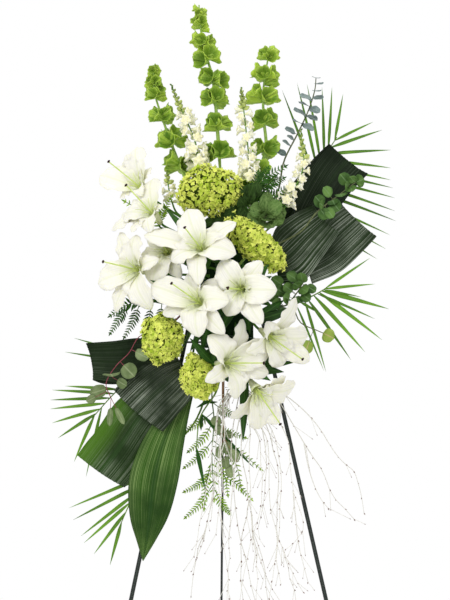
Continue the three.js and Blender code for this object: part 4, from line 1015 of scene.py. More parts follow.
# Hydrangea florets: the dark root colour is their own greener base, deepened as painted shade where the
# florets crowd deep in the head.
FLORET = Finish("hydrangea_floret", "hydrangea_petal", "8eb016", "fcff84", 0.6, root=("4c6a0c", 0.9),
                inside=("b0c82c", 0.35), vein_depth=0, patches=45, skin=0.2, glow=0.1)
# A dark ball inside each hydrangea head: painted shade among the florets, which also fills the gaps between
# them.
HEAD_SHADE_CORE = Finish("hydrangea_shade_core", "hydrangea_petal", "2c3f0c", "4a6416", 0.8, vein_depth=0, patches=160,
                   skin=0.5)
# Bells: the dark inside colour is painted shade in the hollow of each cup.
BELL = Finish("bell_calyx", "bell_green", "4c801c", "bada42", 0.5, inside=("3a6816", 0.62),
              rim=("bcd85c", 0.55),
              root=("a9c95a", 0.4), streak=("c4de6c", 0.6), along=4, across=22, vein_depth=1.2, patches=60,
              glow=0.15,
              gloss=0.15)
BELL_STEM = Finish("bell_stem", "bell_green", "7fa548", "b0cc70", 0.5, vein_depth=0, patches=120)
SNAP = Finish("snapdragon_floret", "snapdragon_cream", "f4f0d8", "fefdf2", 0.55, root=("d9df98", 0.6),
              inside=("f1eaa8", 0.5), vein_depth=0.15, streak=("e9e8c4", 0.3), across=10, patches=60,
              glow=0.3,
              gloss=0.2)
SNAP_GREEN = Finish("snapdragon_green", "snapdragon_cream", "3a6a20", "6f9a3c", 0.5, vein_depth=0, patches=90)
SNAP_BUD = Finish("snapdragon_bud", "snapdragon_cream", "2c5218", "c8d47c", 0.5, vein_depth=0, patches=90,
                  glow=0.1)
# Aspidistra finishes: the pale streak colour, shown in broad bands, is painted highlight along the fine ribs
# where light catches the curved leaf.
DARK_LEAF = Finish("aspidistra_leaf", "aspidistra_leaf", "0c1907", "213812", 0.42, midrib=("1f3316", 0.4),
                   streak=("d4dccc", 0.88), banded=True, along=1.3, across=95, vein_depth=0.6, patches=9,
                   gloss=0.12)
# A darker copy of the aspidistra finish for the leaves at the back: painted shade.
SHADED_ASPIDISTRA_LEAF = Finish("aspidistra_leaf_shaded", "aspidistra_leaf", "071104", "142809", 0.45,
                   midrib=("1c3012", 0.4),
                   streak=("9aa694", 0.5), banded=True, along=1.3, across=95, vein_depth=0.5, patches=9,
                   gloss=0.1)
HANGING_LEAF = Finish("aspidistra_leaf_green", "aspidistra_leaf", "102808", "35620f", 0.42,
                      midrib=("22441a", 0.5),
                      edge=("1a3a0c", 0.5), streak=("b4cc84", 0.8), banded=True, along=1.0, across=85,
                      vein_depth=0.6,
                      patches=8, gloss=0.12)
# The bright aspidistra leaf: its one_side colour is a painted lit half, where light falls on one side of the
# fold.
BRIGHT_LEAF = Finish("aspidistra_leaf_bright", "aspidistra_leaf", "10200a", "264212", 0.42,
                     midrib=("2f4f22", 0.4),
                     one_side=("54821c", 0.66), streak=("b4c0a8", 0.7), banded=True, along=1.3, across=85,
                     vein_depth=0.6, patches=10, gloss=0.12)
PALM_LEAF = Finish("palm_leaflet", "palm_leaf", "2a560e", "74a62c", 0.45, midrib=("8db356", 0.4),
                   streak=("79ad3c", 0.4), along=2, across=14, patches=12)
PALM_DARK = Finish("palm_strap", "palm_leaf", "12300c", "2d5e18", 0.45, midrib=("4f7a3a", 0.3), across=14,
                   patches=12)
GUM_BLUE = Finish("eucalyptus_blue_leaf", "eucalyptus_blue", "40534e", "8a9c98", 0.6, midrib=("a2b2b2", 0.4),
                  edge=("50666c", 0.4), along=8, across=16, vein_depth=0.15, patches=70, sheen=0.1)
GUM_GREEN = Finish("eucalyptus_green_leaf", "eucalyptus_green", "2b4a1c", "6a8e48", 0.55,
                   midrib=("7d9c6a", 0.5),
                   edge=("35552f", 0.4), along=8, across=16, vein_depth=0.3, patches=50)
# A darker leaf finish for the rosette's side twig: painted shade where these leaves sit in the dark middle of
# the spray.
SHADE_LEAF = Finish("shade_leaf", "eucalyptus_green", "12240a", "2f4c1a", 0.55, midrib=("4c6a30", 0.4),
                    streak=("4c6c30", 0.6), along=5, across=22, vein_depth=1.2, patches=60)
ROSETTE = Finish("rosette_leaf", "eucalyptus_green", "243e12", "587a3a", 0.55, midrib=("8aa460", 0.4),
                 streak=("86a25e", 0.6), along=5, across=20, vein_depth=1.0, patches=50)
GUM_PALE = Finish("eucalyptus_pale_leaf", "eucalyptus_green", "586a40", "8e9e70", 0.6, midrib=("a8b48c", 0.5),
                  edge=("5c6e48", 0.4), along=8, across=16, vein_depth=0.3, patches=50, gloss=0.15)
GUM_YELLOW = Finish("eucalyptus_yellow_leaf", "eucalyptus_green", "7d9a3a", "a9bc5a", 0.55,
                    midrib=("d0b08c", 0.6),
                    along=8, across=16, vein_depth=0.2, patches=50)
GUM_TWIG = Finish("eucalyptus_twig", "eucalyptus_green", "4a5234", "788058", 0.6, vein_depth=0, patches=150)
RED_TWIG = Finish("eucalyptus_red_twig", "eucalyptus_green", "6a2834", "a05460", 0.5, vein_depth=0,
                  patches=150)
BROWN_TWIG = Finish("eucalyptus_brown_twig", "eucalyptus_green", "6a4630", "b08a68", 0.7, vein_depth=0,
                    patches=200)
FERN_LEAF = Finish("fern_pinnule", "fern_leaf", "54801a", "a6c83c", 0.5, midrib=("8fbf4f", 0.4), across=8,
                   patches=40)
FERN_DARK = Finish("fern_pinnule_dark", "fern_leaf", "1a360e", "3a6a1c", 0.5, midrib=("4f8030", 0.4),
                   across=8,
                   patches=40)
FERN_RIB = Finish("fern_rib", "fern_leaf", "3f5a24", "6a8a3a", 0.6, vein_depth=0, patches=150)
TWIG = Finish("pale_twig", "pale_twig", "c8c5ba", "f2f0e8", 0.65, vein_depth=0, patches=250, skin=0.4)
TWIG_BUD = Finish("twig_bud", "pale_twig", "745a54", "a4928a", 0.7, vein_depth=0, patches=300, skin=0.4)
FOAM = Finish("wet_foam", "wet_foam", "142c14", "264524", 0.95, vein_depth=0, patches=500, skin=1.0)
TRAY = Finish("tray_plastic", "tray_plastic", "14331c", "1c4225", 0.35, vein_depth=0, patches=200, skin=0.1)
EASEL_PAINT = PaintedMetal("easel_paint", "green_metal", "0f1a14", "3c4840", 0.45)
TIE_WIRE = PaintedMetal("tie_wire", "tie_wire", "22402a", "6f7d70", 0.45)
LEAF_STALK = Finish("aspidistra_stalk", "aspidistra_leaf", "2c4a1a", "4a6f2c", 0.5, vein_depth=0, patches=90)
PALM_STEM = Finish("palm_rachis", "palm_leaf", "4a6f2a", "86a84a", 0.5, vein_depth=0, patches=90)


# Outlines of leaves


def lance(t: Array) -> Array:
    """Width of a narrow leaf: widest two fifths of the way along, pointed at both ends."""
    return np.sin(np.pi * t**0.75) ** 0.9


def oval(t: Array) -> Array:
    """Width of a round leaf."""
    return np.sqrt(np.clip(1 - (2 * t - 1) ** 2, 0, 1)) ** 0.9


def strap(t: Array) -> Array:
    """Width of a long leaflet: soon wide, even for most of its length, then drawn out to its tip."""
    return np.minimum(1, 3.5 * t + 0.12) ** 0.7 * np.clip(1 - t**2.2, 0, 1) ** 0.9


def toothed(t: Array) -> Array:
    """Width of a fern's pinna: a narrow leaf whose edge runs in and out."""
    return lance(t) * (1 + 0.3 * np.sin(13 * np.pi * t))


PETAL_ROWS = 26
PETAL_COLUMNS = 13
LILY_LEAF_SHAPE = LeafShape(lance, rows=14, columns=7, cup=-0.3, wave=0.16, bend=0.06, thick=0.0009)
PALM_SHAPE = LeafShape(strap, rows=16, columns=5, keel=0.3, bend=0.025, thick=0.0008)
GUM_SHAPE = LeafShape(oval, rows=10, columns=7, cup=0.15, wave=0.08, bend=0.04, thick=0.0009)
FERN_SHAPE = LeafShape(toothed, rows=14, columns=3, keel=0.12, bend=0.04, thick=0.0006)
TRUMPET_SHAPE = CupShape(((0, 0.38), (0.3, 0.5), (0.7, 0.75), (1, 1), (1, 0.93), (0.7, 0.66), (0.3, 0.4),
                          (0.1, 0.25)),
                         sides=24)
KNOB_SHAPE = CupShape(((0, 0.5), (0.25, 0.95), (0.6, 1), (0.85, 0.75), (1, 0.3)), sides=12, lobes=3,
                      swell=0.22)
EGG_SHAPE = CupShape(((0, 0.25), (0.15, 0.7), (0.4, 1), (0.7, 0.85), (0.92, 0.4), (1, 0.12)), sides=8)
FLORET_SHAPE = CupShape(((-0.9, 0.1), (0.1, 0.34), (0.5, 1), (0.58, 0.94), (0.3, 0.4), (0.4, 0.12)), sides=12,
                        lobes=4, swell=0.32, lift=0.2)
BELL_SHAPE = CupShape(((0, 0.12), (0.1, 0.3), (0.36, 0.5), (0.66, 0.74), (0.88, 0.95), (1, 1.02),
                       (0.98, 0.97),
                       (0.64, 0.68), (0.34, 0.44), (0.2, 0.24), (0.18, 0.05)), sides=27, lobes=5, swell=0.05,
                       lift=0.13,
                      fray=0.05)
SNAP_SHAPE = CupShape(((0, 0.16), (0.25, 0.34), (0.5, 0.42), (0.7, 0.7), (0.78, 1), (0.9, 1.02), (0.95, 0.75),
                       (0.9, 0.5), (1.05, 0.3), (1.05, 0.06)), sides=24, lobes=5, swell=0.2, lift=0.22,
                       fray=0.1)


@dataclass(frozen=True)
class Lily:
    """A lily: a trumpet with six petals, and a green stem with pistil, filaments and leaves.

    Attributes:
        name: Its letter.
        throat: Mark of the middle of its mouth.
        faces: The way that it faces, across the picture, up and forward.
        hole: Its hole in the foam.
        tips: Columns and rows of its petals' tips, petals and sepals in turn.
        leaves: Marks of its leaves' tips.
        stigma: Column and row of the end of its pistil, where the picture shows it.
        more_leaves: Leaves round its stem behind the bloom.
        trumpet: How far the trumpet reaches behind the mouth.
        depth: How far the petals start behind it.
        mouth: Radius of the trumpet's rim.
        petal_half: Half the width of a petal.
        sepal_half: Half the width of a sepal.
        floppy: Petals shorter than this in the picture are narrower too.
        pistil: Length of the pistil.
        stem: Radius of the stem.
    """

    name: str
    throat: tuple[float, float, float]
    faces: tuple[float, float, float]
    hole: Hole
    tips: Marks
    leaves: Marks = ()
    stigma: tuple[float, float] | None = None
    more_leaves: int = 0
    trumpet: float = 0.046
    depth: float = 0.012
    mouth: float = 0.015
    petal_half: float = 0.0325
    sepal_half: float = 0.0225
    floppy: float = 0.085
    pistil: float = 0.092
    stem: float = 0.003

    @property
    def face(self) -> Array:
        """The way that the bloom faces."""
        return facing(*self.faces)

    def on_axis(self, rise: Array) -> Array:
        """Places on the bloom's axis, in metres in front of its mouth."""
        return at([self.throat])[0] + np.atleast_1d(rise)[:, None] * self.face

    def petals(self, rng: np.random.Generator) -> Array:
        """Six petal middles as grids.

        Each runs along a cubic from inside the trumpet's rim to the tip that the picture shows: its middle
        rises in front of the mouth and its tip turns back. Its width is a sine of the length to a power less
        than one, its edges stand up as a gutter near the trumpet, fold back towards the tip and ruffle in a
        sine wave.

        Args:
            rng: The source of the ruffles.

        Returns:
            Petals by rows by columns by x, y and z.
        """
        centre, face, sight = self.on_axis(0)[0], self.face, facing(0, 0, 1)
        flat = at([(*tip, self.throat[2]) for tip in self.tips]) - centre
        tilt = (0.08 * np.linalg.norm(flat, axis=1) - flat @ face) / max(float(face @ sight), 0.35)
        spread = flat + np.clip(tilt, -0.040, 0.030)[:, None] * sight
        ahead = spread @ face
        outward = unit(spread - ahead[:, None] * face)
        length = np.linalg.norm(spread, axis=1)
        is_sepal = np.arange(len(flat)) % 2 == 1
        layer = np.where(is_sepal, -0.005, 0.004)
        half = np.where(is_sepal, self.sepal_half, self.petal_half) * np.minimum(1, length / self.floppy)
        out = np.stack([np.full(len(flat), self.mouth - 0.0025), 0.32 * length, 0.7 * length], axis=1)
        rise = np.stack([np.full(len(flat), -self.depth - 0.002), 0.1 * length + layer,
                         0.16 * length + layer + 0.5 * ahead], axis=1)
        knots = centre + out[..., None] * outward[:, None] + rise[..., None] * face
        tips = (centre + spread - 0.08 * length[:, None] * face)[:, None]
        knots = np.concatenate([knots, tips], axis=1)
        t = np.linspace(0, 1, PETAL_ROWS)
        weights = np.stack([(1 - t) ** 3, 3 * t * (1 - t) ** 2, 3 * t**2 * (1 - t), t**3], axis=1)
        middle = np.einsum("rk,nkx->nrx", weights, knots)
        wide = np.cross(face, outward)
        along = unit(np.gradient(middle, axis=1))
        normal = np.cross(along, wide[:, None])
        s = np.linspace(-1, 1, PETAL_COLUMNS)[None, None]
        t = t[None, :, None]
        width = half[:, None, None] * (0.28 * (1 - t) ** 2 + np.sin(np.pi * t**1.1) ** 0.6 + 0.01)
        phase = rng.uniform(0, 2 * np.pi, (len(flat), 1, 1))
        ruffle = 0.0042 * s**4 * np.sin(2 * np.pi * 3.3 * t + phase + 1.4 * np.sign(s)) * np.sin(np.pi * t)
        groove = -0.0012 * np.exp(-((s / 0.16) ** 2)) * (1 - t)
        lift = (0.9 * (1 - t) ** 2 - 0.25 * t**2) * s**2 * width + ruffle + groove
        return (middle[:, :, None] + (width * s)[..., None] * wide[:, None, None]
                + lift[..., None] * normal[:, :, None])

    def build_flower(self, rng: np.random.Generator) -> None:
        """Make the trumpet and the petals.

        Args:
            rng: The source of its small differences.
        """
        surface = Surface()
        add_sheets(surface, self.petals(rng), 0.0011, rng.uniform(0.2, 1, len(self.tips)))
        TRUMPET_SHAPE.add(surface, self.on_axis(-self.trumpet), self.face, self.trumpet - self.depth + 0.002,
                          self.mouth, rng, 0.5, 1)
        surface.piece(f"lily_{self.name}_flower", (PETAL, TRUMPET), f"lily_{self.name}_bloom")

    def pistil_path(self) -> Array:
        """The pistil's middle: a parabola from the trumpet's root along the axis to the end that is seen.

        Returns:
            Sixteen points.
        """
        root, knee = self.on_axis([-self.trumpet + 0.006, 0.004])
        end = self.on_axis(self.pistil - self.trumpet)[0]
        if self.stigma:
            reach = np.linspace(self.throat[2] + 4, 349, 120)
            spots = at([(*self.stigma, forward) for forward in reach])
            end = spots[np.abs(np.linalg.norm(spots - root, axis=1) - self.pistil).argmin()]
        t = np.linspace(0, 1, 16)[:, None]
        return (1 - t) ** 2 * root + 2 * t * (1 - t) * knee + t**2 * end

    def build_greens(self, rng: np.random.Generator) -> None:
        """Make the stem, the pistil with its three-lobed end, the filaments and the leaves.

        Args:
            rng: The source of its small differences.
        """
        surface = Surface()
        stem = Stem.grown(self.hole, self.on_axis([-self.trumpet - 0.012, -self.trumpet + 0.006]))
        path = stem.path(18)
        add_tubes(surface, path[None], self.stem, 12, 0.3, 0)
        pistil = self.pistil_path()
        add_tubes(surface, pistil[None], np.linspace(0.0022, 0.0015, 16), 10, 0.6, 1)
        tip_way = unit(pistil[-1] - pistil[-2])
        KNOB_SHAPE.add(surface, pistil[-1:] - tip_way * 0.001, tip_way, 0.0052, 0.0039, rng, 0.4, 2)
        side = unit(np.cross(self.face, UP))
        other = np.cross(side, self.face)
        turn = np.linspace(0, 2 * np.pi, 6, endpoint=False) + rng.uniform(0, 1)
        spokes = wheel(turn[:, None], side, other)
        t = np.linspace(0, 1, 10)[None, :, None]
        reach = rng.uniform(0.040, 0.056, (6, 1, 1))
        threads = (self.on_axis(-0.016)[0] + spokes[:, None] * (0.003 + 0.022 * t**1.7)
                   + self.face * (reach * t - 0.010 * t**3))
        add_tubes(surface, threads, np.linspace(0.0009, 0.0006, 10), 6, 0.9, 1)
        roots, tips = path[[8] * len(self.leaves)], at(self.leaves) if self.leaves else np.zeros((0, 3))
        turn = GOLDEN_TURN * np.arange(self.more_leaves) + rng.uniform(0, 6)
        around = wheel(turn[:, None], ACROSS, np.cross(OUT, ACROSS))
        low = path[rng.integers(6, 15, self.more_leaves)]
        long = rng.uniform(0.065, 0.1, (self.more_leaves, 1))
        far = low + unit(around + OUT * rng.uniform(0.1, 0.7, (self.more_leaves, 1))) * long
        roots, tips = np.vstack([roots, low]), np.vstack([tips, far])
        if len(roots):
            half = rng.uniform(0.010, 0.014, len(roots))
            LILY_LEAF_SHAPE.add(surface, roots, tips, np.cross(tips - roots, OUT), half, rng, 3)
        surface.piece(f"lily_{self.name}_greens", (LILY_GREEN, PISTIL_GREEN, STIGMA, LILY_LEAF),
                      f"lily_{self.name}_stem")

    def build(self, rng: np.random.Generator) -> None:
        """Make both pieces.

        Args:
            rng: The source of its small differences.
        """
        self.build_flower(rng)
        self.build_greens(rng)


@dataclass(frozen=True)
class Hydrangea:
    """A head of four-lobed florets on a stem.

    Attributes:
        name: Where it stands.
        centre: Mark of its middle.
        size: Half its size across, up and deep, in millimetres.
        turn: Its turn in the picture, in degrees.
        hole: Its hole in the foam.
        florets: How many florets it has.
        floret: Radius of a floret.
        stem: Radius of the stem.
    """

    name: str
    centre: tuple[float, float, float]
    size: tuple[float, float, float]
    turn: float
    hole: Hole
    florets: int = 780
    floret: float = 0.0055
    stem: float = 0.0032

    def build(self, rng: np.random.Generator) -> None:
        """Make a dark core of painted shade, the florets and the stem.

        Florets stand in golden angle order on an ellipsoid, each facing along its normal with a small tilt.

        Args:
            rng: The source of its small differences.
        """
        surface = Surface()
        middle = at([self.centre])[0]
        angle = math.radians(self.turn)
        axes = np.stack([facing(math.cos(angle), math.sin(angle), 0), facing(0, 0, 1),
                         facing(-math.sin(angle), math.cos(angle), 0)])
        sizes = np.array([self.size[0], self.size[2], self.size[1]]) * 0.001
        k = np.arange(self.florets) + 0.5
        height = 1 - 2 * k / self.florets
        ring = np.sqrt(1 - height**2)
        ball = np.stack([ring * np.cos(GOLDEN_TURN * k), height, ring * np.sin(GOLDEN_TURN * k)], axis=1)
        ball = unit(ball + rng.normal(0, 0.03, ball.shape))
        way = unit((ball / sizes) @ axes + rng.normal(0, 3.5, ball.shape))
        clumps = 0.05 * np.sin(ball @ rng.normal(0, 5, (3, 3)) + rng.uniform(0, 6, 3)).sum(axis=1)
        place = middle + (ball * sizes
                          * (0.94 + 1.3 * clumps + rng.normal(0, 0.06, self.florets))[:, None]) @ axes
        radius = self.floret * rng.uniform(0.8, 1.15, self.florets)
        # Florets out on the clumps are paler and those in the hollows between them darker: painted shade on
        # top of their random tone.
        tint = np.clip(rng.normal(0.68, 0.46, self.florets) + 3 * clumps, 0, 1)
        FLORET_SHAPE.add(surface, place, unit(way + rng.normal(0, 0.42, way.shape)), radius, radius, rng,
                         tint, 0)
        # The dark core ball: painted shade inside the head.
        turns, rise = np.meshgrid(np.linspace(0, 2 * np.pi, 28, endpoint=False),
                                  np.linspace(0.03, np.pi - 0.03, 16))
        core = np.stack([np.sin(rise) * np.cos(turns), np.cos(rise), np.sin(rise) * np.sin(turns)], axis=-1)
        points = middle + (core.reshape(-1, 3) * sizes * 0.8) @ axes
        surface.add(points[None], ring_faces(16, 28), np.zeros((16 * 28, 2)), 0.5, 1)
        stem = Stem.grown(self.hole, middle - OUT * sizes[1] * 0.5)
        add_tubes(surface, stem.path(12)[None], self.stem, 10, 0.3, 2)
        surface.piece(f"head_{self.name}", (FLORET, HEAD_SHADE_CORE, BELL_STEM), f"hydrangea_{self.name}")


@dataclass(frozen=True)
class BellSpike:
    """A spike of whorls of shell-like bells.

    Attributes:
        name: Where it stands.
        line: Marks along it.
        whorls: A row of the picture and a width in pixels for each whorl.
        hole: Its hole in the foam.
        large: Marks and widths in pixels of large bells at its foot.
        crowd: Bells in a whorl.
        stem: Radius of the stem at its foot.
    """

    name: str
    line: Marks
    whorls: Marks
    hole: Hole
    large: Marks = ()
    crowd: int = 5
    stem: float = 0.0032

    def build(self, rng: np.random.Generator) -> None:
        """Make the stem, the whorls, each turned by half a step from the last, and the large bells.

        Args:
            rng: The source of its small differences.
        """
        surface = Surface()
        stem = Stem.grown(self.hole, at(self.line))
        path = stem.path(60)
        thick = np.interp(np.linspace(0, 1, len(path)), (0, 0.2, 0.35, 1),
                          (self.stem, self.stem, 0.0046, 0.0016))
        add_tubes(surface, path[None], thick, 10, 0.4, 1)
        shares = np.array([stem.share_at_row(row) for row, _ in self.whorls])
        reach = np.repeat([width * PIXEL / 2 for _, width in self.whorls], self.crowd)
        spots = np.repeat(stem.place(shares), self.crowd, axis=0)
        up = np.repeat(stem.along(shares), self.crowd, axis=0)
        whorl, k = np.divmod(np.arange(len(spots)), self.crowd)
        turn = 2 * np.pi * (k + 0.5 * (whorl % 2)) / self.crowd + rng.normal(0, 0.12, len(k))
        flat = wheel(turn[:, None], ACROSS, np.cross(UP, ACROSS))
        away = unit(flat + up * rng.uniform(0.0, 0.75, (len(k), 1)))
        spots = spots + up * rng.normal(-0.006, 0.006, (len(k), 1))
        grown = reach * rng.uniform(0.88, 1.04, len(k))
        tint = np.clip(whorl / max(whorl) + rng.normal(0, 0.22, len(k)), 0, 1)
        BELL_SHAPE.add(surface, spots, away, grown * 0.95, grown * 0.62, rng, tint, 0)
        for column, row, forward, width in self.large:
            mouth = at([(column, row, forward)])
            root = stem.place(0.12)
            start = mouth + (root - mouth) * 0.55
            stalk = curve(np.vstack([root, start]), np.linspace(0, 1, 6))
            add_tubes(surface, stalk[None], 0.0016, 8, 0.4, 1)
            depth = float(np.linalg.norm(mouth - start))
            BELL_SHAPE.add(surface, start, mouth - start, depth, width * PIXEL / 2.2, rng, 0.8, 0)
        surface.piece(f"spike_{self.name}", (BELL, BELL_STEM), f"bells_of_ireland_{self.name}")


@dataclass(frozen=True)
class Snapdragon:
    """A spike of ruffled florets below green buds.

    Attributes:
        name: Where it stands.
        line: Marks along it.
        open: Rows of the picture between which its florets are open.
        width: Its width in pixels.
        florets: How many of them are open.
        buds: How many are green.
        hole: Its hole in the foam.
        stem: Radius of the stem at its foot.
    """

    name: str
    line: Marks
    open: tuple[float, float]
    width: float
    florets: int
    buds: int
    hole: Hole
    stem: float = 0.0028

    def around(self, stem: Stem, shares: Array, rise: Array) -> Array:
        """Directions away from the stem in golden angle order, with a share of the way up.

        Args:
            stem: The stem.
            shares: Places along it.
            rise: A share of the way up for each.

        Returns:
            One direction for each share.
        """
        turn = GOLDEN_TURN * np.arange(len(shares))
        flat = wheel(turn[:, None], ACROSS, np.cross(UP, ACROSS))
        return unit(flat + stem.along(shares) * np.broadcast_to(rise, (len(shares),))[:, None])

    def build(self, rng: np.random.Generator) -> None:
        """Make the stem, the open florets, the half-open ones and the buds.

        Args:
            rng: The source of its small differences.
        """
        surface = Surface()
        stem = Stem.grown(self.hole, at(self.line))
        path = stem.path(40)
        add_tubes(surface, path[None], np.linspace(self.stem, 0.0013, len(path)), 10, 0.5, 1)
        low, high = (stem.share_at_row(row) for row in self.open)
        reach = self.width * PIXEL / 2
        shares = np.linspace(low, high, self.florets)
        size = reach * np.linspace(1, 0.72, self.florets) * rng.uniform(0.88, 1.08, self.florets)
        away = self.around(stem, shares, rng.uniform(0.0, 0.3, self.florets))
        SNAP_SHAPE.add(surface, stem.place(shares), away, size * 0.92, size * 0.46, rng,
                       rng.uniform(0, 1, self.florets))
        shares = np.linspace(high + 0.01, 0.985, self.buds)
        away = self.around(stem, shares, np.linspace(0.5, 1.4, self.buds))
        depth = np.linspace(0.016, 0.006, self.buds)
        EGG_SHAPE.add(surface, stem.place(shares), away, depth, depth * 0.36, rng,
                      np.linspace(1, 0, self.buds), 2)
        surface.piece(f"snap_{self.name}", (SNAP, SNAP_GREEN, SNAP_BUD), f"snapdragon_{self.name}")


@dataclass(frozen=True)
class FoldedLeaf:
    """A wide leaf between two edges, folded back on itself or hanging.

    Attributes:
        name: Where it is.
        edges: Pairs of marks on its left and right edge, from its root to its tip.
        hole: Its hole in the foam.
        finish: Its finish.
        cup: How far its middle sinks.
        pleat: How deep its pleats are.
        stalk: Radius of its stalk.
    """

    name: str
    edges: Sequence[Sequence[Sequence[float]]]
    hole: Hole
    finish: Finish = DARK_LEAF
    cup: float = 0.006
    pleat: float = 0.0005
    stalk: float = 0.0024

    def build(self, rng: np.random.Generator) -> None:
        """Make the stalk and the blade: straight across between two smooth edges, sunk, pleated.

        Args:
            rng: The source of its small differences.
        """
        surface = Surface()
        left, right = (at([pair[k] for pair in self.edges]) for k in (0, 1))
        shares = np.linspace(0, 1, 72)
        s = np.linspace(-1, 1, 29)[None, :, None]
        lefts, rights = curve(left, shares)[:, None], curve(right, shares)[:, None]
        flat = lefts * (1 - s) / 2 + rights * (1 + s) / 2
        normal = unit(np.cross(np.gradient(flat, axis=0), np.gradient(flat, axis=1)))
        t = shares[:, None, None]
        ends = np.clip(np.minimum(t, 1 - t) * 8, 0, 1)
        dip = self.cup * (s**2 - 0.5) + self.pleat * np.cos(40 * s)
        wave = 0.002 * s**3 * np.sin(11 * t + rng.uniform(0, 6))
        add_sheets(surface, (flat + normal * (dip + wave) * ends)[None], 0.0012, rng.uniform(0.2, 0.8, 1), 0)
        middle = (left + right) / 2
        stem = Stem.grown(self.hole, np.stack([middle[0], middle[0] * 0.7 + middle[1] * 0.3]))
        add_tubes(surface, stem.path(16)[None], self.stalk, 8, 0.4, 1)
        surface.piece(f"folded_{self.name}", (self.finish, LEAF_STALK), f"aspidistra_{self.name}")


@dataclass(frozen=True)
class Palm:
    """A palm frond: a rachis with narrow leaflets.

    Attributes:
        name: Where it is.
        line: Marks along its rachis.
        leaflets: Column and row of each tip, the share of the rachis where it starts, half its width in mm.
        hole: Its hole in the foam.
        finish: The leaflets' finish.
        stem: Radius of the rachis at its foot.
    """

    name: str
    line: Marks
    leaflets: Sequence[tuple[tuple[float, float], float, float]]
    hole: Hole
    finish: Finish = PALM_LEAF
    stem: float = 0.0028

    def build(self, rng: np.random.Generator) -> None:
        """Make the rachis and the leaflets.

        Args:
            rng: The source of its small differences.
        """
        surface = Surface()
        stem = Stem.grown(self.hole, at(self.line))
        path = stem.path(30)
        add_tubes(surface, path[None], np.linspace(self.stem, 0.0012, len(path)), 8, 0.4, 1)
        shares = np.array([share for _, share, _ in self.leaflets])
        forward = self.line[-1][2] - 6 + (np.arange(len(shares)) % 3) * 6
        tips = at([(*place, far) for (place, _, _), far in zip(self.leaflets, forward)])
        roots = stem.place(shares * 0.98)
        half = np.array([half for _, _, half in self.leaflets]) * 0.0008
        PALM_SHAPE.add(surface, roots, tips, np.cross(tips - roots, OUT), half, rng, 0)
        surface.piece(f"frond_{self.name}", (self.finish, PALM_STEM), f"palm_{self.name}")


@dataclass(frozen=True)
class Eucalyptus:
    """A eucalyptus sprig: a twig with stalked oval leaves, and perhaps a side twig.

    Attributes:
        name: Where it is.
        line: Marks along the twig.
        leaves: A column, a row, a width and a height in pixels for each leaf.
        finish: The leaves' finish.
        hole: Its hole in the foam.
        side: Marks along a side twig.
        side_leaves: Leaves of the side twig.
        twig: The twigs' finish.
        side_finish: The finish of the side twig's leaves.
        rise: How far its leaves lie level, so that they are seen from their edge.
        thick: The twig's radius outside the foam.
    """

    name: str
    line: Marks
    leaves: Marks
    finish: Finish
    hole: Hole
    side: Marks = ()
    side_leaves: Marks = ()
    twig: Finish = GUM_TWIG
    side_finish: Finish = GUM_YELLOW
    rise: float = 0.0
    thick: float = 0.0024

    def add_leaves(self, surface: Surface, stem: Stem, leaves: Marks, depth: float, rng: np.random.Generator,
                   slot: int) -> None:
        """Add leaves, each on a stalk from the nearest point of the twig.

        Args:
            surface: Where they go.
            stem: The twig.
            leaves: Their marks and sizes.
            depth: How far forward the twig's end lies.
            rng: The source of their tilts.
            slot: The number of the leaves' finish.
        """
        marks = np.asarray(leaves, float)
        roots = stem.nearest(at(np.column_stack([marks[:, :2], np.full(len(marks), depth)])))
        forward = depth + 6 + (np.arange(len(marks)) % 2) * 5
        middles = at(np.column_stack([marks[:, :2], forward]))
        along = unit(middles - roots)
        half = marks[:, 2:].max(axis=1) * PIXEL / 2
        half_wide = half * 0.85 if self.rise else marks[:, 2:].min(axis=1) * PIXEL / 2
        look = np.array([facing(a, b + self.rise, 1) for a, b in rng.uniform(-0.45, 0.45, (len(marks), 2))])
        starts = middles - along * half[:, None]
        reach = np.linalg.norm(middles - roots, axis=1)
        starts = np.where((reach > half)[:, None], starts, roots)
        t = np.linspace(0, 1, 5)[None, :, None]
        ends = starts + along * 0.002
        add_tubes(surface, roots[:, None] * (1 - t) + ends[:, None] * t, 0.0007, 6, 0.5, 1)
        GUM_SHAPE.add(surface, starts, middles + along * half[:, None], np.cross(along, look), half_wide, rng,
                      slot)

    def build(self, rng: np.random.Generator) -> None:
        """Make the twigs and the leaves.

        Args:
            rng: The source of its small differences.
        """
        surface = Surface()
        stem = Stem.grown(self.hole, at(self.line))
        path = stem.path(30)
        radii = np.interp(np.linspace(0, 1, len(path)), (0, 0.2, 0.28, 1),
                          (0.0024, 0.0022, self.thick * 0.9, 0.0011))
        add_tubes(surface, path[None], radii, 8, 0.4, 1)
        self.add_leaves(surface, stem, self.leaves, self.line[-1][2], rng, 0)
        if self.side:
            side = branch(np.vstack([stem.place(0.3), at(self.side)]))
            path = side.place(np.linspace(-1 / len(self.side), 1, 12))
            add_tubes(surface, path[None], np.linspace(0.0016, 0.0011, len(path)), 8, 0.6, 1)
            self.add_leaves(surface, side, self.side_leaves, self.side[-1][2], rng, 2)
        finishes = (self.finish, self.twig, self.side_finish) if self.side else (self.finish, self.twig)
        surface.piece(f"sprig_{self.name}", finishes, f"eucalyptus_{self.name}")


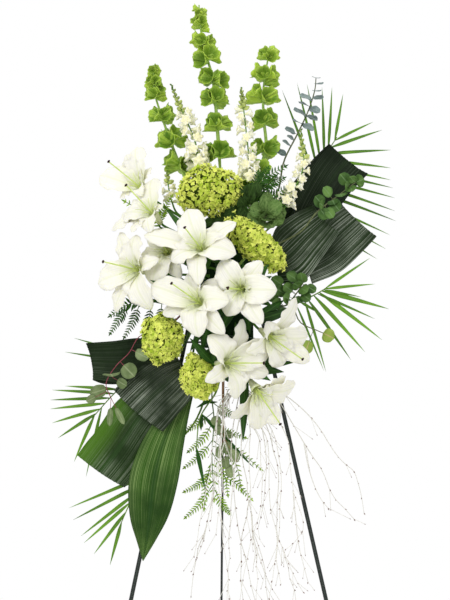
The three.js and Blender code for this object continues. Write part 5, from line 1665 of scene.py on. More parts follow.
@dataclass(frozen=True)
class Fern:
    """A fern leaf: a midrib with pinnae, and side sprays.

    Attributes:
        name: Where it is.
        line: Marks along the midrib.
        sprays: Marks along each side spray, from its start on the midrib.
        hole: Its hole in the foam.
        bare: The share of the midrib without pinnae.
        finish: The pinnae's finish.
        pinna: Length of the longest pinna.
        side_pinna: Length of the longest pinna of a side spray.
    """

    name: str
    line: Marks
    sprays: Sequence[Marks]
    hole: Hole
    bare: float = 0.4
    finish: Finish = FERN_LEAF
    pinna: float = 0.027
    side_pinna: float = 0.021

    @staticmethod
    def add_pinnae(surface: Surface, rib: Array, size: float, pairs: int, rng: np.random.Generator) -> None:
        """Add pairs of pinnae along a rib, shorter towards its tip, and one at its end.

        Args:
            surface: Where they go.
            rib: Points along the rib.
            size: Length of the longest.
            pairs: How many pairs.
            rng: The source of small turns.
        """
        shares = np.repeat(np.linspace(0.02, 0.95, pairs), 2)
        far = shares * (len(rib) - 1)
        low = np.minimum(far.astype(int), len(rib) - 2)
        roots = rib[low] + (rib[low + 1] - rib[low]) * (far - low)[:, None]
        along = unit(rib[low + 1] - rib[low])
        side = unit(np.cross(along, OUT)) * np.where(np.arange(2 * pairs) % 2, 1, -1)[:, None]
        lean = rng.uniform(0.45, 0.65, (2 * pairs, 1))
        way = unit(side * (1 - lean * 0.4) + along * lean + OUT * rng.normal(0.05, 0.12, (2 * pairs, 1)))
        length = size * (1 - 0.72 * shares) * np.minimum(1, 0.55 + 2.2 * shares)
        tips = roots + way * length[:, None]
        FERN_SHAPE.add(surface, roots, tips, np.cross(way, OUT), np.maximum(length * 0.14, 0.0016), rng, 0)
        end = rib[-1] + along[-1] * size * 0.3
        FERN_SHAPE.add(surface, rib[-2], end, np.cross(end - rib[-2], OUT), 0.0022, rng, 0)

    def build(self, rng: np.random.Generator) -> None:
        """Make the midrib, the side ribs and the pinnae.

        Args:
            rng: The source of its small differences.
        """
        surface = Surface()
        stem = Stem.grown(self.hole, at(self.line))
        path = stem.path(30)
        add_tubes(surface, path[None], np.linspace(0.0022, 0.0009, len(path)), 6, 0.4, 1)
        self.add_pinnae(surface, stem.place(np.linspace(self.bare, 1, 24)), self.pinna,
                        int(22 * (1 - self.bare)), rng)
        for spray in self.sprays:
            marks = at(spray)
            rib = curve(np.vstack([stem.nearest(marks[:1]), marks[1:]]), np.linspace(0, 1, 16))
            add_tubes(surface, rib[None], np.linspace(0.0012, 0.0007, 16), 6, 0.5, 1)
            self.add_pinnae(surface, rib[3:], self.side_pinna, 11, rng)
        surface.piece(f"spray_{self.name}", (self.finish, FERN_RIB), f"fern_{self.name}")


@dataclass(frozen=True)
class TwigBundle:
    """Pale twigs that hang from the foam's lower face, with small buds and short side twigs.

    Attributes:
        hole: Its hole in the foam.
        root: Marks of the bundle's start.
        strands: Marks along each twig.
        radius: Radius of a twig.
        bud: Length of a bud.
        spacing: The way between two buds.
    """

    hole: Hole
    root: Marks
    strands: Sequence[Marks]
    radius: float = 0.0011
    bud: float = 0.005
    spacing: float = 0.034

    def build(self, rng: np.random.Generator) -> None:
        """Make the bundle's start, the twigs, which bend a little at each bud, the buds and the side twigs.

        Args:
            rng: The source of its small differences.
        """
        surface = Surface()
        stem = Stem.grown(self.hole, at(self.root))
        add_tubes(surface, stem.path(16)[None], 0.0024, 8, 0.2, 0)
        for strand in self.strands:
            marks = at(strand)
            length = float(np.linalg.norm(np.diff(marks, axis=0), axis=1).sum())
            joints = max(4, int(length / self.spacing))
            line = curve(marks, np.linspace(0, 1, joints + 1))
            line[1:-1] += rng.normal(0, 0.0014, (joints - 1, 3)) * np.array([1, 0.6, 0.3])
            path = curve(line, np.linspace(0, 1, 5 * joints + 1))
            add_tubes(surface, path[None], np.linspace(self.radius * 1.25, self.radius * 0.6, len(path)), 6,
                      rng.uniform(), 0)
            along = unit(np.gradient(line, axis=0))[1:]
            side = unit(np.cross(along, OUT)) * np.where(np.arange(joints) % 2, 1, -1)[:, None]
            way = unit(along + side * rng.uniform(0.1, 0.6, (joints, 1)) + rng.normal(0, 0.15, (joints, 3)))
            size = self.bud * rng.uniform(0.7, 1.25, joints)
            EGG_SHAPE.add(surface, line[1:], way, size, size * 0.27, rng, rng.uniform(0, 1, joints), 1)
            chosen = np.flatnonzero(rng.uniform(size=joints) < 0.45)
            if len(chosen):
                long = rng.uniform(0.02, 0.06, (len(chosen), 1))
                ends = line[1:][chosen] + unit(along[chosen] - side[chosen] * 0.42) * long
                t = np.linspace(0, 1, 5)[None, :, None]
                add_tubes(surface, line[1:][chosen][:, None] * (1 - t) + ends[:, None] * t,
                          self.radius * 0.55, 6, 0.5, 0)
                EGG_SHAPE.add(surface, ends, ends - line[1:][chosen], self.bud * 0.75, self.bud * 0.19, rng,
                              0.5, 1)
        surface.piece("twig_bundle", (TWIG, TWIG_BUD), "hanging_twigs")


@dataclass(frozen=True)
class Easel:
    """The folding wire easel: two flat double-bead legs with crossbars, and a round rear leg with an eye.

    Attributes:
        sides: Sides of a round bead or bar.
        bar_sink: How far a bar enters a leg.
        weld: Radius of a weld; not used.
    """

    sides: int = 16
    bar_sink: float = 0.001
    weld: float = 0.0042

    @staticmethod
    def leg_across(down: float) -> float:
        """How far from the middle a front leg runs, at a distance down from the top bar."""
        return TOP_HALF_WIDTH + (FOOT_ACROSS - TOP_HALF_WIDTH) * down / SLOPE_LENGTH

    def add_cut_rods(self, surface: Surface, head: Array, foot: Array, radius: float) -> None:
        """Add round rods whose upper end is rounded and whose lower end is cut level with the floor.

        Args:
            surface: Where they go.
            head: The upper ends of their middles.
            foot: Points below the floor on their middles.
            radius: Their radius.
        """
        along = unit(foot - head)
        side = unit(np.cross(along, UP))
        other = np.cross(along, side)
        turn = np.linspace(0, 2 * np.pi, self.sides, endpoint=False)[:, None]
        spokes = wheel(turn, side[:, None], other[:, None])
        rings = []
        for shift, share in ((-0.9, 0.35), (-0.6, 0.8), (0.0, 1.0)):
            rings.append((head + along * radius * shift)[:, None] + spokes * radius * share)
        last = rings[-1]
        for share in np.linspace(0.05, 1, 20):
            rings.append(last - along[:, None] * (last[..., 2:3] / along[:, None, 2:3]) * share)
        points = np.stack(rings, axis=1).reshape(len(head), -1, 3)
        surface.add(points, ring_faces(len(rings), self.sides), grid_map(len(rings), self.sides), 0.5)

    def build_front(self) -> None:
        """Make both front legs, the top bar and the crossbars."""
        surface = Surface()
        bead = LEG_THICKNESS / 2
        apart = LEG_WIDTH / 2 - bead
        for sign in (-1, 1):
            head, foot = on_easel(sign * TOP_HALF_WIDTH, 0, 0), on_easel(sign * FOOT_ACROSS, SLOPE_LENGTH, 0)
            along = unit(foot - head)
            side = unit(np.cross(along, OUT))
            shifts = np.array([-apart, apart])[:, None] * side
            self.add_cut_rods(surface, head + shifts, foot + along * 0.03 + shifts, bead)
            corners = [(a * apart, b * WEB_THICKNESS / 2) for a, b in ((-1, -1), (1, -1), (1, 1), (-1, 1))]
            upper = np.array([head + side * a + OUT * b for a, b in corners])
            lower = upper - along * (upper[:, 2:3] / along[2])
            rings = np.stack([upper + (lower - upper) * share for share in np.linspace(0, 1, 8)])
            surface.add(rings.reshape(1, -1, 3), ring_faces(8, 4), np.zeros((32, 2)), 0.5)
        for down in (0.0, *BAR_DOWN):
            across = self.leg_across(down) - (LEG_WIDTH / 2 if down == 0 else 0) + self.bar_sink
            ends = np.stack([on_easel(-across, down, 0), on_easel(across, down, 0)])
            t = np.linspace(0, 1, 6)[:, None]
            add_tubes(surface, (ends[0] * (1 - t) + ends[1] * t)[None], BAR_RADIUS, self.sides, 0.5)
        surface.piece("front_frame", (EASEL_PAINT,), "easel_front_frame")

    def build_rear(self) -> None:
        """Make the rear leg with the eye that turns on the top bar."""
        surface = Surface()
        head = ORIGIN + UP * EASEL_TOP
        foot = ORIGIN + np.array([0, REAR_FOOT_REACH, 0])
        along = unit(foot - head)
        ring = BAR_RADIUS + BAR_CLEARANCE + EYE_RADIUS
        self.add_cut_rods(surface, (head + along * ring)[None], (foot + along * 0.03)[None], REAR_ROD_RADIUS)
        turn = np.linspace(0, 2 * np.pi, 40, endpoint=False)
        outward = wheel(turn[:, None], UP, np.array([0, 1, 0]))
        bead = np.linspace(0, 2 * np.pi, self.sides, endpoint=False)[None, :, None]
        points = (head + outward * ring)[:, None] + wheel(bead, outward[:, None], ACROSS) * EYE_RADIUS
        faces = ring_faces(40, self.sides, closed=True)
        surface.add(points.reshape(1, -1, 3), faces, np.zeros((40 * self.sides, 2)), 0.5)
        surface.piece("rear_rod", (EASEL_PAINT,), "easel_rear_leg", Body.REAR_LEG)

    def build(self, rng: np.random.Generator) -> None:
        """Make both pieces.

        Args:
            rng: Not used.
        """
        self.build_front()
        self.build_rear()


# What the picture shows, as columns and rows of 450 by 600 and millimetres forward

LILIES = (
    Lily(
        "a",
        throat=(199, 246, 262),
        faces=(-0.37, 0.47, 0.8),
        hole=(Face.FRONT, -14, 200),
        tips=((186, 206), (235, 221), (235, 253), (198, 284), (170, 260), (141, 232)),
        leaves=((165, 208, 200), (222, 232, 190), (190, 214, 185), (234, 214, 180), (214, 222, 175),
                (158, 226, 180)),
        stigma=(185, 228),
        more_leaves=5,
    ),
    Lily(
        "b",
        throat=(197, 301, 282),
        faces=(-0.5, 0.35, 0.79),
        hole=(Face.FRONT, -22, 268),
        tips=((148, 284), (186, 272), (228, 300), (223, 333), (198, 336), (160, 313)),
        leaves=((150, 280, 215), (143, 300, 190), (190, 352, 205), (201, 354, 200), (152, 262, 190),
                (212, 350, 190)),
        stigma=(172, 283.7),
        more_leaves=5,
    ),
    Lily(
        "c",
        throat=(239.5, 289, 285),
        faces=(-0.28, 0.04, 0.96),
        hole=(Face.FRONT, 10, 248),
        tips=((220, 260), (261, 261), (276, 290), (261, 324), (226, 316), (199, 287)),
        leaves=((235, 316, 215), (272, 276, 200), (214, 342, 200), (250, 334, 190), (208, 330, 180)),
        stigma=(228, 288),
        more_leaves=6,
    ),
    Lily(
        "d",
        throat=(230, 363, 268),
        faces=(0.72, 0.05, 0.69),
        hole=(Face.FRONT, -2, 322),
        tips=((210, 335), (246, 319), (273, 347), (272, 374), (239, 399), (207, 381)),
        stigma=(263.2, 363),
        more_leaves=5,
    ),
    Lily(
        "e",
        throat=(272, 338, 240),
        faces=(0.6, -0.42, 0.68),
        hole=(Face.FRONT, 28, 300),
        tips=((267, 322), (298, 299), (311, 338), (313, 364), (285, 368), (247, 353)),
        leaves=((237, 328, 195), (292, 310, 150), (284, 300, 140), (256, 312, 170)),
        stigma=(302, 359),
    ),
    Lily(
        "f",
        throat=(259, 393, 232),
        faces=(0.45, -0.62, 0.64),
        hole=(Face.FRONT, 22, 366),
        tips=((298, 387), (287, 378), (275, 385), (232, 421), (261, 433), (280, 428)),
        leaves=((243, 442, 190), (296, 362, 180), (284, 372, 170), (300, 352, 180)),
        stigma=(280, 423.7),
        more_leaves=4,
    ),
    Lily(
        "g",
        throat=(150, 211, 195),
        faces=(-0.55, 0.58, 0.6),
        hole=(Face.FRONT, -38, 160),
        tips=((151, 175), (163, 205), (150, 232), (130, 231), (120, 214), (108, 227)),
        stigma=(126.5, 185.5),
    ),
    Lily(
        "h",
        throat=(138, 185, 150),
        faces=(-0.6, 0.55, 0.58),
        hole=(Face.FRONT, -44, 128),
        tips=((96, 172), (123, 151), (134, 143), (150, 166), (142, 196), (118, 196)),
        stigma=(109, 162),
    ),
    Lily(
        "i",
        throat=(134, 269, 200),
        faces=(-0.65, 0.16, 0.74),
        hole=(Face.FRONT, -46, 228),
        tips=((94, 283), (116, 231), (134, 234), (158, 259), (150, 309), (112, 312)),
        stigma=(103.7, 261.7),
    ),
    Lily(
        "j",
        throat=(166, 250, 180),
        faces=(-0.3, 0.4, 0.86),
        hole=(Face.FRONT, -30, 212),
        tips=((152, 228), (178, 230), (188, 254), (178, 284), (152, 284), (140, 254)),
        more_leaves=5,
    ),
)


HYDRANGEAS = (
    Hydrangea("upper", centre=(208, 191, 158), size=(69, 55, 44), turn=6, hole=(Face.FRONT, -6, 128)),
    Hydrangea("right", centre=(256, 244, 200), size=(80, 36, 36), turn=-42, hole=(Face.FRONT, 24, 205)),
    Hydrangea("left", centre=(162, 338, 212), size=(48, 54, 44), turn=0, hole=(Face.FRONT, -42, 312)),
    Hydrangea("lower", centre=(200, 377, 215), size=(36, 50, 40), turn=20, hole=(Face.FRONT, -20, 356)),
)


BELLS = (
    BellSpike(
        "left",
        line=((190, 205, 78), (186, 181, 76), (180, 166, 74), (170, 140, 70), (161, 114, 66), (155, 94, 62),
            (153, 65, 60)),
        whorls=((165, 30), (139, 29), (116, 25), (96, 22), (80, 17), (70, 13)),
        hole=(Face.TOP, -38, 42),
    ),
    BellSpike(
        "middle",
        line=((222, 195, 84), (220, 167, 84), (219, 152, 82), (217, 123, 80), (215, 98, 80), (212, 75, 80),
            (206, 55, 80), (202, 38, 80), (200, 22, 80), (199, 5, 80)),
        whorls=((153, 29), (124, 26), (99, 26), (76, 27), (56, 27), (39, 23), (23, 18), (12, 13)),
        hole=(Face.TOP, -8, 34),
    ),
    BellSpike(
        "right",
        line=((252, 205, 70), (261, 168, 72), (266, 147, 72), (264, 121, 72), (263, 94, 72), (265, 77, 72),
            (270, 46, 72)),
        whorls=((145, 26), (119, 25), (96, 29), (74, 26), (55, 21)),
        hole=(Face.TOP, 24, 34),
        large=((247, 192, 118, 30), (262, 166, 112, 20)),
    ),
)


SNAPS = (
    Snapdragon(
        "left",
        line=((202, 185, 104), (198, 165, 102), (196, 145, 100), (186, 119, 96), (178, 102, 94),
              (171, 84, 92)),
        open=(168, 112),
        width=27,
        florets=20,
        buds=18,
        hole=(Face.TOP, -24, 68),
    ),
    Snapdragon(
        "middle",
        line=((250, 200, 112), (249, 181, 112), (249, 160, 112), (245, 121, 108), (241, 87, 104)),
        open=(182, 110),
        width=24,
        florets=23,
        buds=17,
        hole=(Face.TOP, 10, 66),
    ),
    Snapdragon(
        "right",
        line=((283, 210, 126), (286, 198, 126), (298, 182, 124), (304, 163, 120), (302, 147, 118),
              (301, 129, 116)),
        open=(206, 158),
        width=22,
        florets=18,
        buds=14,
        hole=(Face.TOP, 40, 66),
    ),
    Snapdragon(
        "small",
        line=((178, 214, 104), (172, 202, 106), (169, 190, 106), (167, 172, 104)),
        open=(202, 184),
        width=18,
        florets=7,
        buds=8,
        hole=(Face.TOP, -50, 68),
    ),
)


FOLDED_LEAVES = (
    FoldedLeaf(
        "top_right",
        edges=(((262, 212, 34), (272, 226, 34)), ((288, 188, 20), (318, 214, 20)), ((314, 158, 14),
            (352, 190, 14)), ((329, 144, 22), (367, 175, 22)), ((316, 161, 32), (355, 187, 32)),
            ((298, 192, 36),
            (342, 204, 36)), ((288, 218, 40), (322, 226, 40))),
        hole=(Face.RIGHT, 24, 132),
        finish=SHADED_ASPIDISTRA_LEAF,
    ),
    FoldedLeaf(
        "right_back",
        edges=(((276, 246, 40), (286, 256, 40)), ((308, 226, 42), (336, 270, 42)), ((330, 207, 42),
            (366, 246, 42)), ((338, 201, 48), (376, 237, 48)), ((325, 209, 56), (359, 255, 56)),
            ((309, 224, 60),
            (340, 272, 60)), ((298, 240, 62), (312, 284, 62))),
        hole=(Face.RIGHT, 40, 205),
    ),
    FoldedLeaf(
        "right_front",
        edges=(((272, 236, 78), (280, 248, 78)), ((292, 216, 74), (318, 258, 74)), ((306, 207, 76),
            (334, 240, 76)), ((312, 206, 84), (339, 233, 84)), ((294, 214, 92), (322, 258, 92)),
            ((276, 228, 95),
            (302, 282, 95)), ((270, 246, 95), (280, 284, 95))),
        hole=(Face.RIGHT, 74, 196),
    ),
    FoldedLeaf(
        "left_back",
        edges=(((178, 362, 100), (178, 348, 100)), ((146, 380, 88), (142, 340, 88)), ((104, 384, 78),
            (97, 343, 78)), ((94, 380, 86), (87, 343, 86)), ((120, 383, 96), (113, 341, 96)),
            ((146, 384, 102),
            (140, 338, 102)), ((166, 374, 106), (162, 342, 106))),
        hole=(Face.LEFT, 30, 300),
        finish=SHADED_ASPIDISTRA_LEAF,
    ),
    FoldedLeaf(
        "left_front",
        edges=(((186, 366, 132), (190, 378, 132)), ((150, 366, 136), (178, 408, 136)), ((122, 385, 138),
            (166, 424, 140)), ((113, 391, 146), (162, 432, 148)), ((133, 373, 154), (178, 414, 156)),
            ((155, 359, 158), (192, 396, 160)), ((176, 356, 158), (194, 378, 160))),
        hole=(Face.LEFT, 82, 352),
    ),
    FoldedLeaf(
        "left_low",
        edges=(((182, 392, 112), (186, 404, 112)), ((138, 400, 110), (160, 440, 116)), ((92, 436, 106),
            (130, 477, 110)), ((77, 456, 112), (124, 488, 116)), ((98, 428, 118), (139, 470, 124)),
            ((117, 401, 120), (158, 440, 126)), ((140, 384, 120), (172, 416, 124))),
        hole=(Face.LEFT, 52, 340),
        finish=BRIGHT_LEAF,
    ),
    FoldedLeaf(
        "hanging",
        edges=(((186, 388, 130), (194, 392, 130)), ((160, 414, 134), (188, 420, 132)), ((140, 446, 142),
            (183, 450, 140)), ((129, 480, 154), (178, 482, 152)), ((130, 517, 168), (169, 515, 166)),
            ((137, 542, 178), (156, 540, 176)), ((142.7, 561, 184), (143.3, 561, 184))),
        hole=(Face.BOTTOM, -44, 52),
        finish=HANGING_LEAF,
    ),
)


PALMS = (
    Palm(
        "upper_right",
        line=((262, 236, 40), (286, 214, 10), (306, 184, 0), (322, 160, -4), (337, 137, -6)),
        leaflets=(((282, 90), 0.62, 5), ((297, 83), 0.68, 5), ((307, 84), 0.74, 5), ((322, 87), 0.8, 5),
            ((332, 87), 0.87, 5), ((343, 94), 0.98, 5), ((373, 122), 0.98, 5), ((382, 130), 0.9, 6),
            ((391, 150), 0.83, 6), ((391, 168), 0.76, 6), ((391, 180), 0.7, 6), ((393, 188), 0.64, 6),
            ((395, 198), 0.58, 6), ((395, 211), 0.53, 6), ((396, 221), 0.48, 6), ((390, 235), 0.42, 6),
            ((386, 249), 0.36, 6), ((377, 259), 0.3, 6)),
        hole=(Face.RIGHT, 28, 166),
    ),
    Palm(
        "lower_right",
        line=((268, 318, 70), (296, 304, 62), (318, 293, 58), (326, 288, 56)),
        leaflets=(((370, 258), 0.98, 5), ((361, 297), 0.9, 4), ((375, 284), 0.95, 5), ((389, 309), 0.82, 8),
            ((382, 340), 0.72, 7), ((365, 352), 0.6, 7), ((351, 360), 0.5, 6), ((319, 313), 0.4, 5),
            ((375, 319), 0.66, 5), ((326, 372), 0.46, 5), ((324, 371), 0.34, 4)),
        hole=(Face.RIGHT, 46, 300),
    ),
    Palm(
        "left",
        line=((176, 356, 40), (150, 366, 30), (120, 388, 26), (92, 418, 24)),
        leaflets=(((74, 338), 0.24, 6), ((65, 352), 0.34, 6), ((65, 386), 0.7, 6), ((52, 390), 0.75, 6),
            ((50, 400), 0.8, 6), ((50, 409), 0.86, 6), ((52, 423), 0.92, 6), ((58, 438), 0.97, 6),
            ((74, 462), 0.99, 6), ((86, 477), 0.9, 5)),
        hole=(Face.LEFT, 24, 326),
    ),
    Palm(
        "lower_left",
        line=((196, 420, 70), (164, 456, 64), (134, 496, 62), (118, 530, 62)),
        leaflets=(((69, 508), 0.5, 6), ((73, 520), 0.58, 6), ((81, 536), 0.66, 6), ((84, 543), 0.74, 6),
            ((94, 554), 0.84, 6), ((110, 565), 0.94, 6)),
        hole=(Face.BOTTOM, -24, 22),
    ),
    Palm(
        "straps",
        line=((216, 392, 118), (208, 404, 118), (200, 418, 118), (196, 452, 118)),
        leaflets=(((254, 468), 0.6, 8), ((205, 490), 0.98, 7), ((196, 408), 0.2, 6), ((201, 431), 0.6, 6),
            ((218, 402), 0.3, 4)),
        hole=(Face.BOTTOM, -4, 62),
        finish=PALM_DARK,
    ),
)


EUCALYPTUS = (
    Eucalyptus(
        "blue_top",
        line=((276, 196, 90), (284, 161, 86), (298, 133, 84), (309, 109, 82), (315, 89, 80), (316, 78, 80)),
        leaves=((316, 78, 10, 8), (319, 84, 10, 8), (316, 91, 11, 8), (318, 98, 12, 8), (306, 98, 14, 9),
            (305, 105, 15, 9), (314, 110, 13, 9), (300, 113, 16, 9), (311, 118, 14, 9), (299, 123, 15, 9),
            (307, 127, 15, 10), (290, 131, 12, 8), (292, 139, 12, 8), (287, 144, 12, 8), (281, 153, 12, 8)),
        finish=GUM_BLUE,
        rise=1.5,
        hole=(Face.TOP, 46, 34),
    ),
    Eucalyptus(
        "green_right",
        line=((300, 232, 118), (317, 212, 112), (335, 198, 108), (356, 182, 106)),
        leaves=((344, 179, 13, 13), (351, 189, 12, 12), (359, 181, 13, 13), (341, 195, 13, 13),
                (327, 192, 12, 12),
            (319, 201, 13, 13), (324, 214, 12, 12), (336, 206, 13, 13), (333, 201, 12, 12),
            (347, 186, 12, 11),
            (323, 206, 13, 12), (330, 213, 12, 11), (353, 180, 12, 11)),
        finish=GUM_GREEN,
        hole=(Face.RIGHT, 84, 165),
    ),
    Eucalyptus(
        "rosette",
        line=((264, 226, 160), (266, 214, 176)),
        leaves=((266, 203, 17, 16), (275, 208, 17, 16), (277, 218, 16, 15), (270, 225, 17, 15),
                (259, 222, 17, 16),
            (257, 210, 16, 16), (266, 213, 14, 13), (262, 217, 12, 12), (272, 213, 13, 12),
            (266, 220, 13, 12),
            (253, 217, 13, 12), (280, 213, 13, 12), (267, 199, 14, 12)),
        side=((254, 208, 152), (246, 208, 148)),
        side_leaves=((244, 205, 20, 15), (233, 212, 20, 13), (222, 218, 20, 12), (244, 220, 18, 12),
                     (250, 194, 20, 14),
            (228, 224, 16, 11), (240, 196, 18, 12), (256, 190, 16, 12), (212, 221, 16, 10),
            (243, 212, 16, 11)),
        side_finish=SHADE_LEAF,
        finish=ROSETTE,
        hole=(Face.FRONT, 30, 160),
    ),
    Eucalyptus(
        "right_side",
        line=((284, 306, 120), (296, 294, 132), (303, 283, 136)),
        leaves=((302, 278, 12, 12), (304, 290, 12, 12), (288, 288, 12, 12), (286, 298, 12, 12),
                (281, 309, 14, 14),
            (277, 281, 13, 12), (292, 277, 13, 12), (297, 285, 12, 12), (280, 291, 13, 12),
            (306, 297, 12, 11),
            (298, 300, 12, 11), (291, 301, 13, 12), (311, 289, 11, 10), (273, 296, 13, 12),
            (276, 303, 12, 12)),
        side=((300, 322, 120), (316, 330, 122), (323, 333, 122)),
        side_leaves=((327, 335, 14, 17), (307, 347, 12, 14)),
        finish=GUM_GREEN,
        hole=(Face.RIGHT, 80, 262),
    ),
    Eucalyptus(
        "red_left",
        line=((160, 332, 150), (140, 336, 156), (129, 353, 160), (116, 366, 164), (106, 384, 166),
              (111, 398, 166)),
        leaves=((129, 371, 16, 16), (111, 375, 18, 17), (98, 391, 14, 17), (91, 399, 9, 10),
                (122, 383, 11, 11),
            (110, 417, 6, 18), (120, 416, 6, 18), (142, 355, 11, 17)),
        finish=GUM_PALE,
        hole=(Face.LEFT, 84, 282),
        twig=RED_TWIG,
        thick=0.0012,
    ),
    Eucalyptus(
        "hanging",
        line=((224, 372, 134), (223, 385, 134), (223, 410, 132), (224, 437, 130)),
        leaves=((222, 414, 11, 12), (216, 421, 10, 12), (227, 448, 11, 14), (234, 456, 11, 14),
                (230, 471, 9, 14),
            (219, 430, 10, 14), (228, 434, 9, 13), (220, 452, 9, 13), (226, 462, 9, 12)),
        finish=GUM_PALE,
        hole=(Face.BOTTOM, 8, 78),
        twig=BROWN_TWIG,
        thick=0.0044,
    ),
)


FERNS = (
    Fern(
        "upper_left",
        line=((196, 262, 150), (170, 238, 150), (150, 216, 148), (124, 201, 144)),
        sprays=(((160, 226, 149), (163, 212, 146), (172, 196, 142)),),
        bare=0.5,
        hole=(Face.LEFT, 62, 190),
    ),
    Fern(
        "left",
        line=((180, 300, 132), (156, 302, 130), (130, 304, 126), (110, 316, 122)),
        sprays=(((140, 303, 128), (134, 320, 126), (124, 338, 124)), ((152, 302, 130), (148, 322, 128),
            (142, 342, 126)), ((162, 301, 131), (160, 318, 130), (156, 334, 128)), ((130, 304, 127),
            (120, 318, 125), (110, 334, 122))),
        bare=0.5,
        hole=(Face.LEFT, 72, 236),
        finish=FERN_DARK,
    ),
    Fern(
        "top_middle",
        line=((240, 232, 146), (248, 212, 148), (252, 192, 148), (258, 172, 146)),
        sprays=(((250, 204, 148), (262, 190, 147), (276, 176, 146)), ((250, 206, 147), (242, 192, 146),
            (234, 180, 144)), ((251, 200, 147), (270, 197, 140), (288, 187, 132)), ((249, 210, 147),
            (276, 208, 138), (294, 198, 130)), ((248, 214, 147), (236, 206, 146), (226, 196, 144)),
            ((252, 196, 147), (266, 178, 140), (286, 166, 130)), ((248, 216, 146), (238, 220, 146),
            (226, 222, 146)), ((252, 200, 147), (266, 196, 142), (282, 201, 136)), ((250, 204, 147),
            (262, 202, 142), (274, 208, 138)), ((253, 190, 148), (262, 180, 146), (268, 168, 142)),
            ((254, 186, 148), (270, 184, 142), (284, 178, 136))),
        bare=0.3,
        hole=(Face.FRONT, 12, 158),
        finish=FERN_DARK,
        side_pinna=0.027,
    ),
    Fern(
        "hanging",
        line=((212, 392, 104), (214, 420, 102), (212, 452, 100), (214, 500, 98)),
        sprays=(((213, 440, 101), (200, 456, 102), (184, 468, 102)), ((213, 470, 100), (200, 484, 102),
            (184, 492, 102)), ((213, 484, 100), (200, 504, 101), (185, 518, 101)), ((213, 446, 101),
            (238, 452, 98), (262, 470, 96)), ((213, 470, 100), (236, 484, 97), (252, 500, 95)),
            ((213, 412, 102), (198, 424, 103), (183, 432, 104)), ((213, 420, 102), (202, 440, 103),
            (188, 452, 103)), ((213, 436, 101), (228, 433, 99), (246, 438, 97)), ((213, 486, 99),
            (222, 504, 98), (230, 514, 97)), ((213, 452, 100), (224, 474, 108),
            (228, 496, 108)), ((213, 440, 100), (234, 460, 108), (242, 492, 106)),
            ((213, 460, 100), (206, 484, 106),
            (204, 510, 104)), ((213, 402, 103), (226, 412, 102), (240, 418, 100))),
        bare=0.75,
        hole=(Face.BOTTOM, -14, 40),
        side_pinna=0.019,
    ),
)


TWIGS = TwigBundle(
    hole=(Face.BOTTOM, 34, 70),
    root=((240, 372, 146), (243, 384, 150)),
    strands=(
        ((243, 384, 150), (228, 392, 158), (221, 436, 160), (207, 525, 158), (192, 571, 156)),
        ((207, 525, 158), (200, 545, 157), (196, 560, 156), (191, 596, 154)),
        ((243, 384, 150), (238, 430, 156), (230, 520, 154), (229, 560, 153), (227, 601, 152)),
        ((243, 384, 150), (250, 433, 154), (249, 470, 154), (252, 530, 152), (257, 566, 151),
         (256, 601, 150)),
        ((252, 530, 152), (259, 557, 154), (268, 580, 156), (280, 601, 156)),
        ((250, 500, 153), (246, 520, 150), (240, 554, 148), (243, 599, 146)),
        ((243, 384, 150), (263, 432, 148), (266, 467, 146), (264, 498, 146), (258, 528, 145)),
        ((243, 384, 150), (267, 427, 144), (278, 470, 142), (277, 531, 140), (287, 565, 140),
         (296, 601, 140)),
        ((277, 531, 140), (276, 560, 138), (281, 584, 138)),
        ((243, 384, 150), (284, 430, 158), (293, 490, 158), (303, 529, 158), (286, 549, 156)),
        ((293, 490, 158), (298, 540, 160), (308, 582, 160)),
        ((243, 384, 150), (270, 392, 160), (304, 443, 164), (321, 470, 164), (333, 495, 162),
         (354, 519, 160)),
        ((243, 384, 150), (280, 392, 168), (313, 420, 172), (336, 455, 170), (356, 475, 168),
         (364, 513, 166)),
        ((304, 443, 164), (310, 474, 166), (321, 500, 166), (328, 508, 166)),
        ((243, 384, 150), (246, 410, 156), (258, 440, 158), (262, 470, 158), (261, 505, 156), (249, 548, 154),
            (240, 600, 152)),
        ((243, 384, 150), (254, 412, 158), (267, 440, 160), (270, 500, 160), (279, 540, 158), (290, 568, 156),
            (303, 592, 156)),
        ((243, 384, 150), (262, 412, 162), (276, 440, 164), (281, 490, 164), (277, 545, 162),
         (269, 598, 160)),
        ((243, 384, 150), (234, 390, 166), (222, 400, 172), (213, 440, 172), (208, 482, 170), (200, 522, 168),
            (194, 556, 166)),
        ((243, 384, 150), (236, 392, 164), (226, 404, 168), (222, 440, 168), (219, 480, 166), (222, 530, 164),
            (229, 598, 162)),
        ((243, 384, 150), (238, 400, 160), (232, 440, 162), (233, 482, 162), (238, 524, 160), (246, 562, 158),
            (255, 600, 156)),
        ((243, 384, 150), (241, 410, 154), (242, 450, 158), (247, 490, 158), (254, 530, 156), (264, 566, 154),
            (268, 600, 152)),
        ((243, 384, 150), (230, 394, 170), (219, 410, 176), (216, 452, 176), (212, 496, 174),
         (204, 540, 172)),
        ((243, 384, 150), (232, 390, 172), (225, 398, 178), (224, 440, 178), (217, 476, 178),
         (211, 520, 176)),
        ((243, 384, 150), (233, 392, 168), (227, 402, 174), (221, 446, 180), (222, 486, 178),
         (216, 534, 176)),
    ),
)

HOLDER_FINISHES = {"foam_block": FOAM, "foam_tray": TRAY, "wire_tie_upper": TIE_WIRE,
                   "wire_tie_lower": TIE_WIRE}


# The picture's surroundings


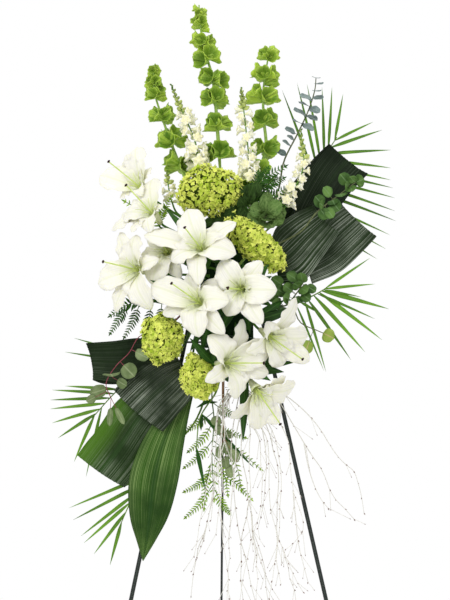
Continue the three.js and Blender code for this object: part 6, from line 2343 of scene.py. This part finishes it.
@dataclass(frozen=True)
class Lamp:
    """A soft lamp.

    Attributes:
        name: Its name.
        place: Its place in metres round the easel's middle.
        aim: The place that it shines at.
        size: The side of its square.
        power: Its power in watts.
        colour: Its colour.
    """

    name: str
    place: tuple[float, float, float]
    aim: tuple[float, float, float]
    size: float
    power: float
    colour: tuple[float, float, float] = (1.0, 1.0, 1.0)

    def build(self) -> None:
        """Make the lamp."""
        light = bpy.data.lights.new(self.name, "AREA")
        light.shape = "SQUARE"
        light.size = self.size
        light.energy = self.power
        light.color = self.colour
        made = bpy.data.objects.new(self.name, light)
        made.location = self.place
        way = unit(np.array(self.aim) - np.array(self.place))
        made.rotation_euler = (math.acos(-way[2]), 0.0, math.atan2(-way[0], way[1]))
        bpy.context.scene.collection.objects.link(made)


@dataclass(frozen=True)
class Studio:
    """The pale floor, the white surroundings, the lamps and the camera.

    Attributes:
        floor: Half the side of the floor.
        white: How bright the surroundings look.
        ambient: How much they light the part.
        lamps: The lamps.
    """

    floor: float = 1.5
    white: float = 1.0
    ambient: float = 0.8
    lamps: tuple[Lamp, ...] = (
        Lamp("key", (-1.7, -3.0, 3.1), (0.0, 0.0, 1.1), 1.8, 56.0),
        Lamp("fill", (2.6, -2.4, 1.6), (0.0, 0.0, 1.0), 2.2, 14.0),
        Lamp("top", (0.2, 0.8, 3.6), (0.0, 0.0, 1.2), 1.8, 16.0),
    )

    def build_floor(self) -> None:
        """Make the floor just below the feet."""
        side = self.floor
        mesh = bpy.data.meshes.new("floor")
        mesh.from_pydata([(-side, -side, -0.0003), (side, -side, -0.0003), (side, side, -0.0003),
                          (-side, side, -0.0003)],
                         [], [(0, 1, 2, 3)])
        made = bpy.data.objects.new("floor", mesh)
        material, tree, shader = new_material("floor_paper")
        mottle = Effect.MOTTLE.use(tree, {"Scale": 3.0, "Depth": 0.05})
        shown = mixed(tree, mottle.outputs["Value"], colour("f2f2f0"), colour("f6f6f4"))
        tree.links.new(shown, shader.inputs["Base Color"])
        shader.inputs["Roughness"].default_value = 0.8
        mesh.materials.append(material)
        bpy.context.scene.collection.objects.link(made)

    def build_world(self) -> None:
        """Make the surroundings: white to the camera, softer as a light."""
        world = bpy.data.worlds.new("surroundings")
        world.use_nodes = True
        tree = world.node_tree
        back = tree.nodes["Background"]
        path = add_node(tree, "ShaderNodeLightPath")
        strength = maths(tree, "MULTIPLY_ADD", path.outputs["Is Camera Ray"], self.white - self.ambient)
        strength.node.inputs[2].default_value = self.ambient
        back.inputs["Color"].default_value = (1.0, 1.0, 1.0, 1.0)
        tree.links.new(strength, back.inputs["Strength"])
        bpy.context.scene.world = world

    def build_camera(self) -> None:
        """Make the camera where the picture's eye stands."""
        data = bpy.data.cameras.new("camera")
        data.sensor_fit = "VERTICAL"
        data.sensor_height = 36.0
        data.sensor_width = 36.0
        data.lens = 36.0 * EYE_DISTANCE / PICTURE_HEIGHT
        made = bpy.data.objects.new("camera", data)
        made.location = ORIGIN + facing(0, 0, 1) * EYE_DISTANCE + UP * EYE_HEIGHT
        made.rotation_euler = (math.pi / 2, 0.0, -EYE_TURN)
        bpy.context.scene.collection.objects.link(made)
        bpy.context.scene.camera = made

    def build(self) -> None:
        """Make all of it."""
        self.build_floor()
        self.build_world()
        for lamp in self.lamps:
            lamp.build()
        self.build_camera()
        bpy.context.scene.view_settings.view_transform = "Standard"


Plant = Lily | Hydrangea | BellSpike | Snapdragon | FoldedLeaf | Palm | Eucalyptus | Fern | TwigBundle


@dataclass(frozen=True)
class Arrangement:
    """The whole part.

    Attributes:
        plants: Its flowers, leaves and twigs.
        easel: The easel.
        holder: The finish of each node that is shown as it was packed.
    """

    plants: Sequence[Plant]
    easel: Easel
    holder: dict[str, Finish | PaintedMetal]

    def build(self) -> None:
        """Make each piece with its own source of numbers, and dress the nodes that stay."""
        for k, plant in enumerate((self.easel, *self.plants)):
            plant.build(np.random.default_rng([SEED, k]))
        for node, finish in self.holder.items():
            mesh = frame["nodes"][node].data
            mesh.materials.clear()
            mesh.materials.append(finish.material())
            LOG.info("%s: dressed in %s", node, finish.name)


def main() -> None:
    """Build the part and its surroundings."""
    logging.basicConfig(level=logging.INFO, format="%(name)s %(message)s")
    plants = (*LILIES, *HYDRANGEAS, *SNAPS, *BELLS, *EUCALYPTUS, *FOLDED_LEAVES, *PALMS, *FERNS, TWIGS)
    Arrangement(plants, Easel(), HOLDER_FINISHES).build()
    Studio().build()


if __name__ == "__main__":
    main()
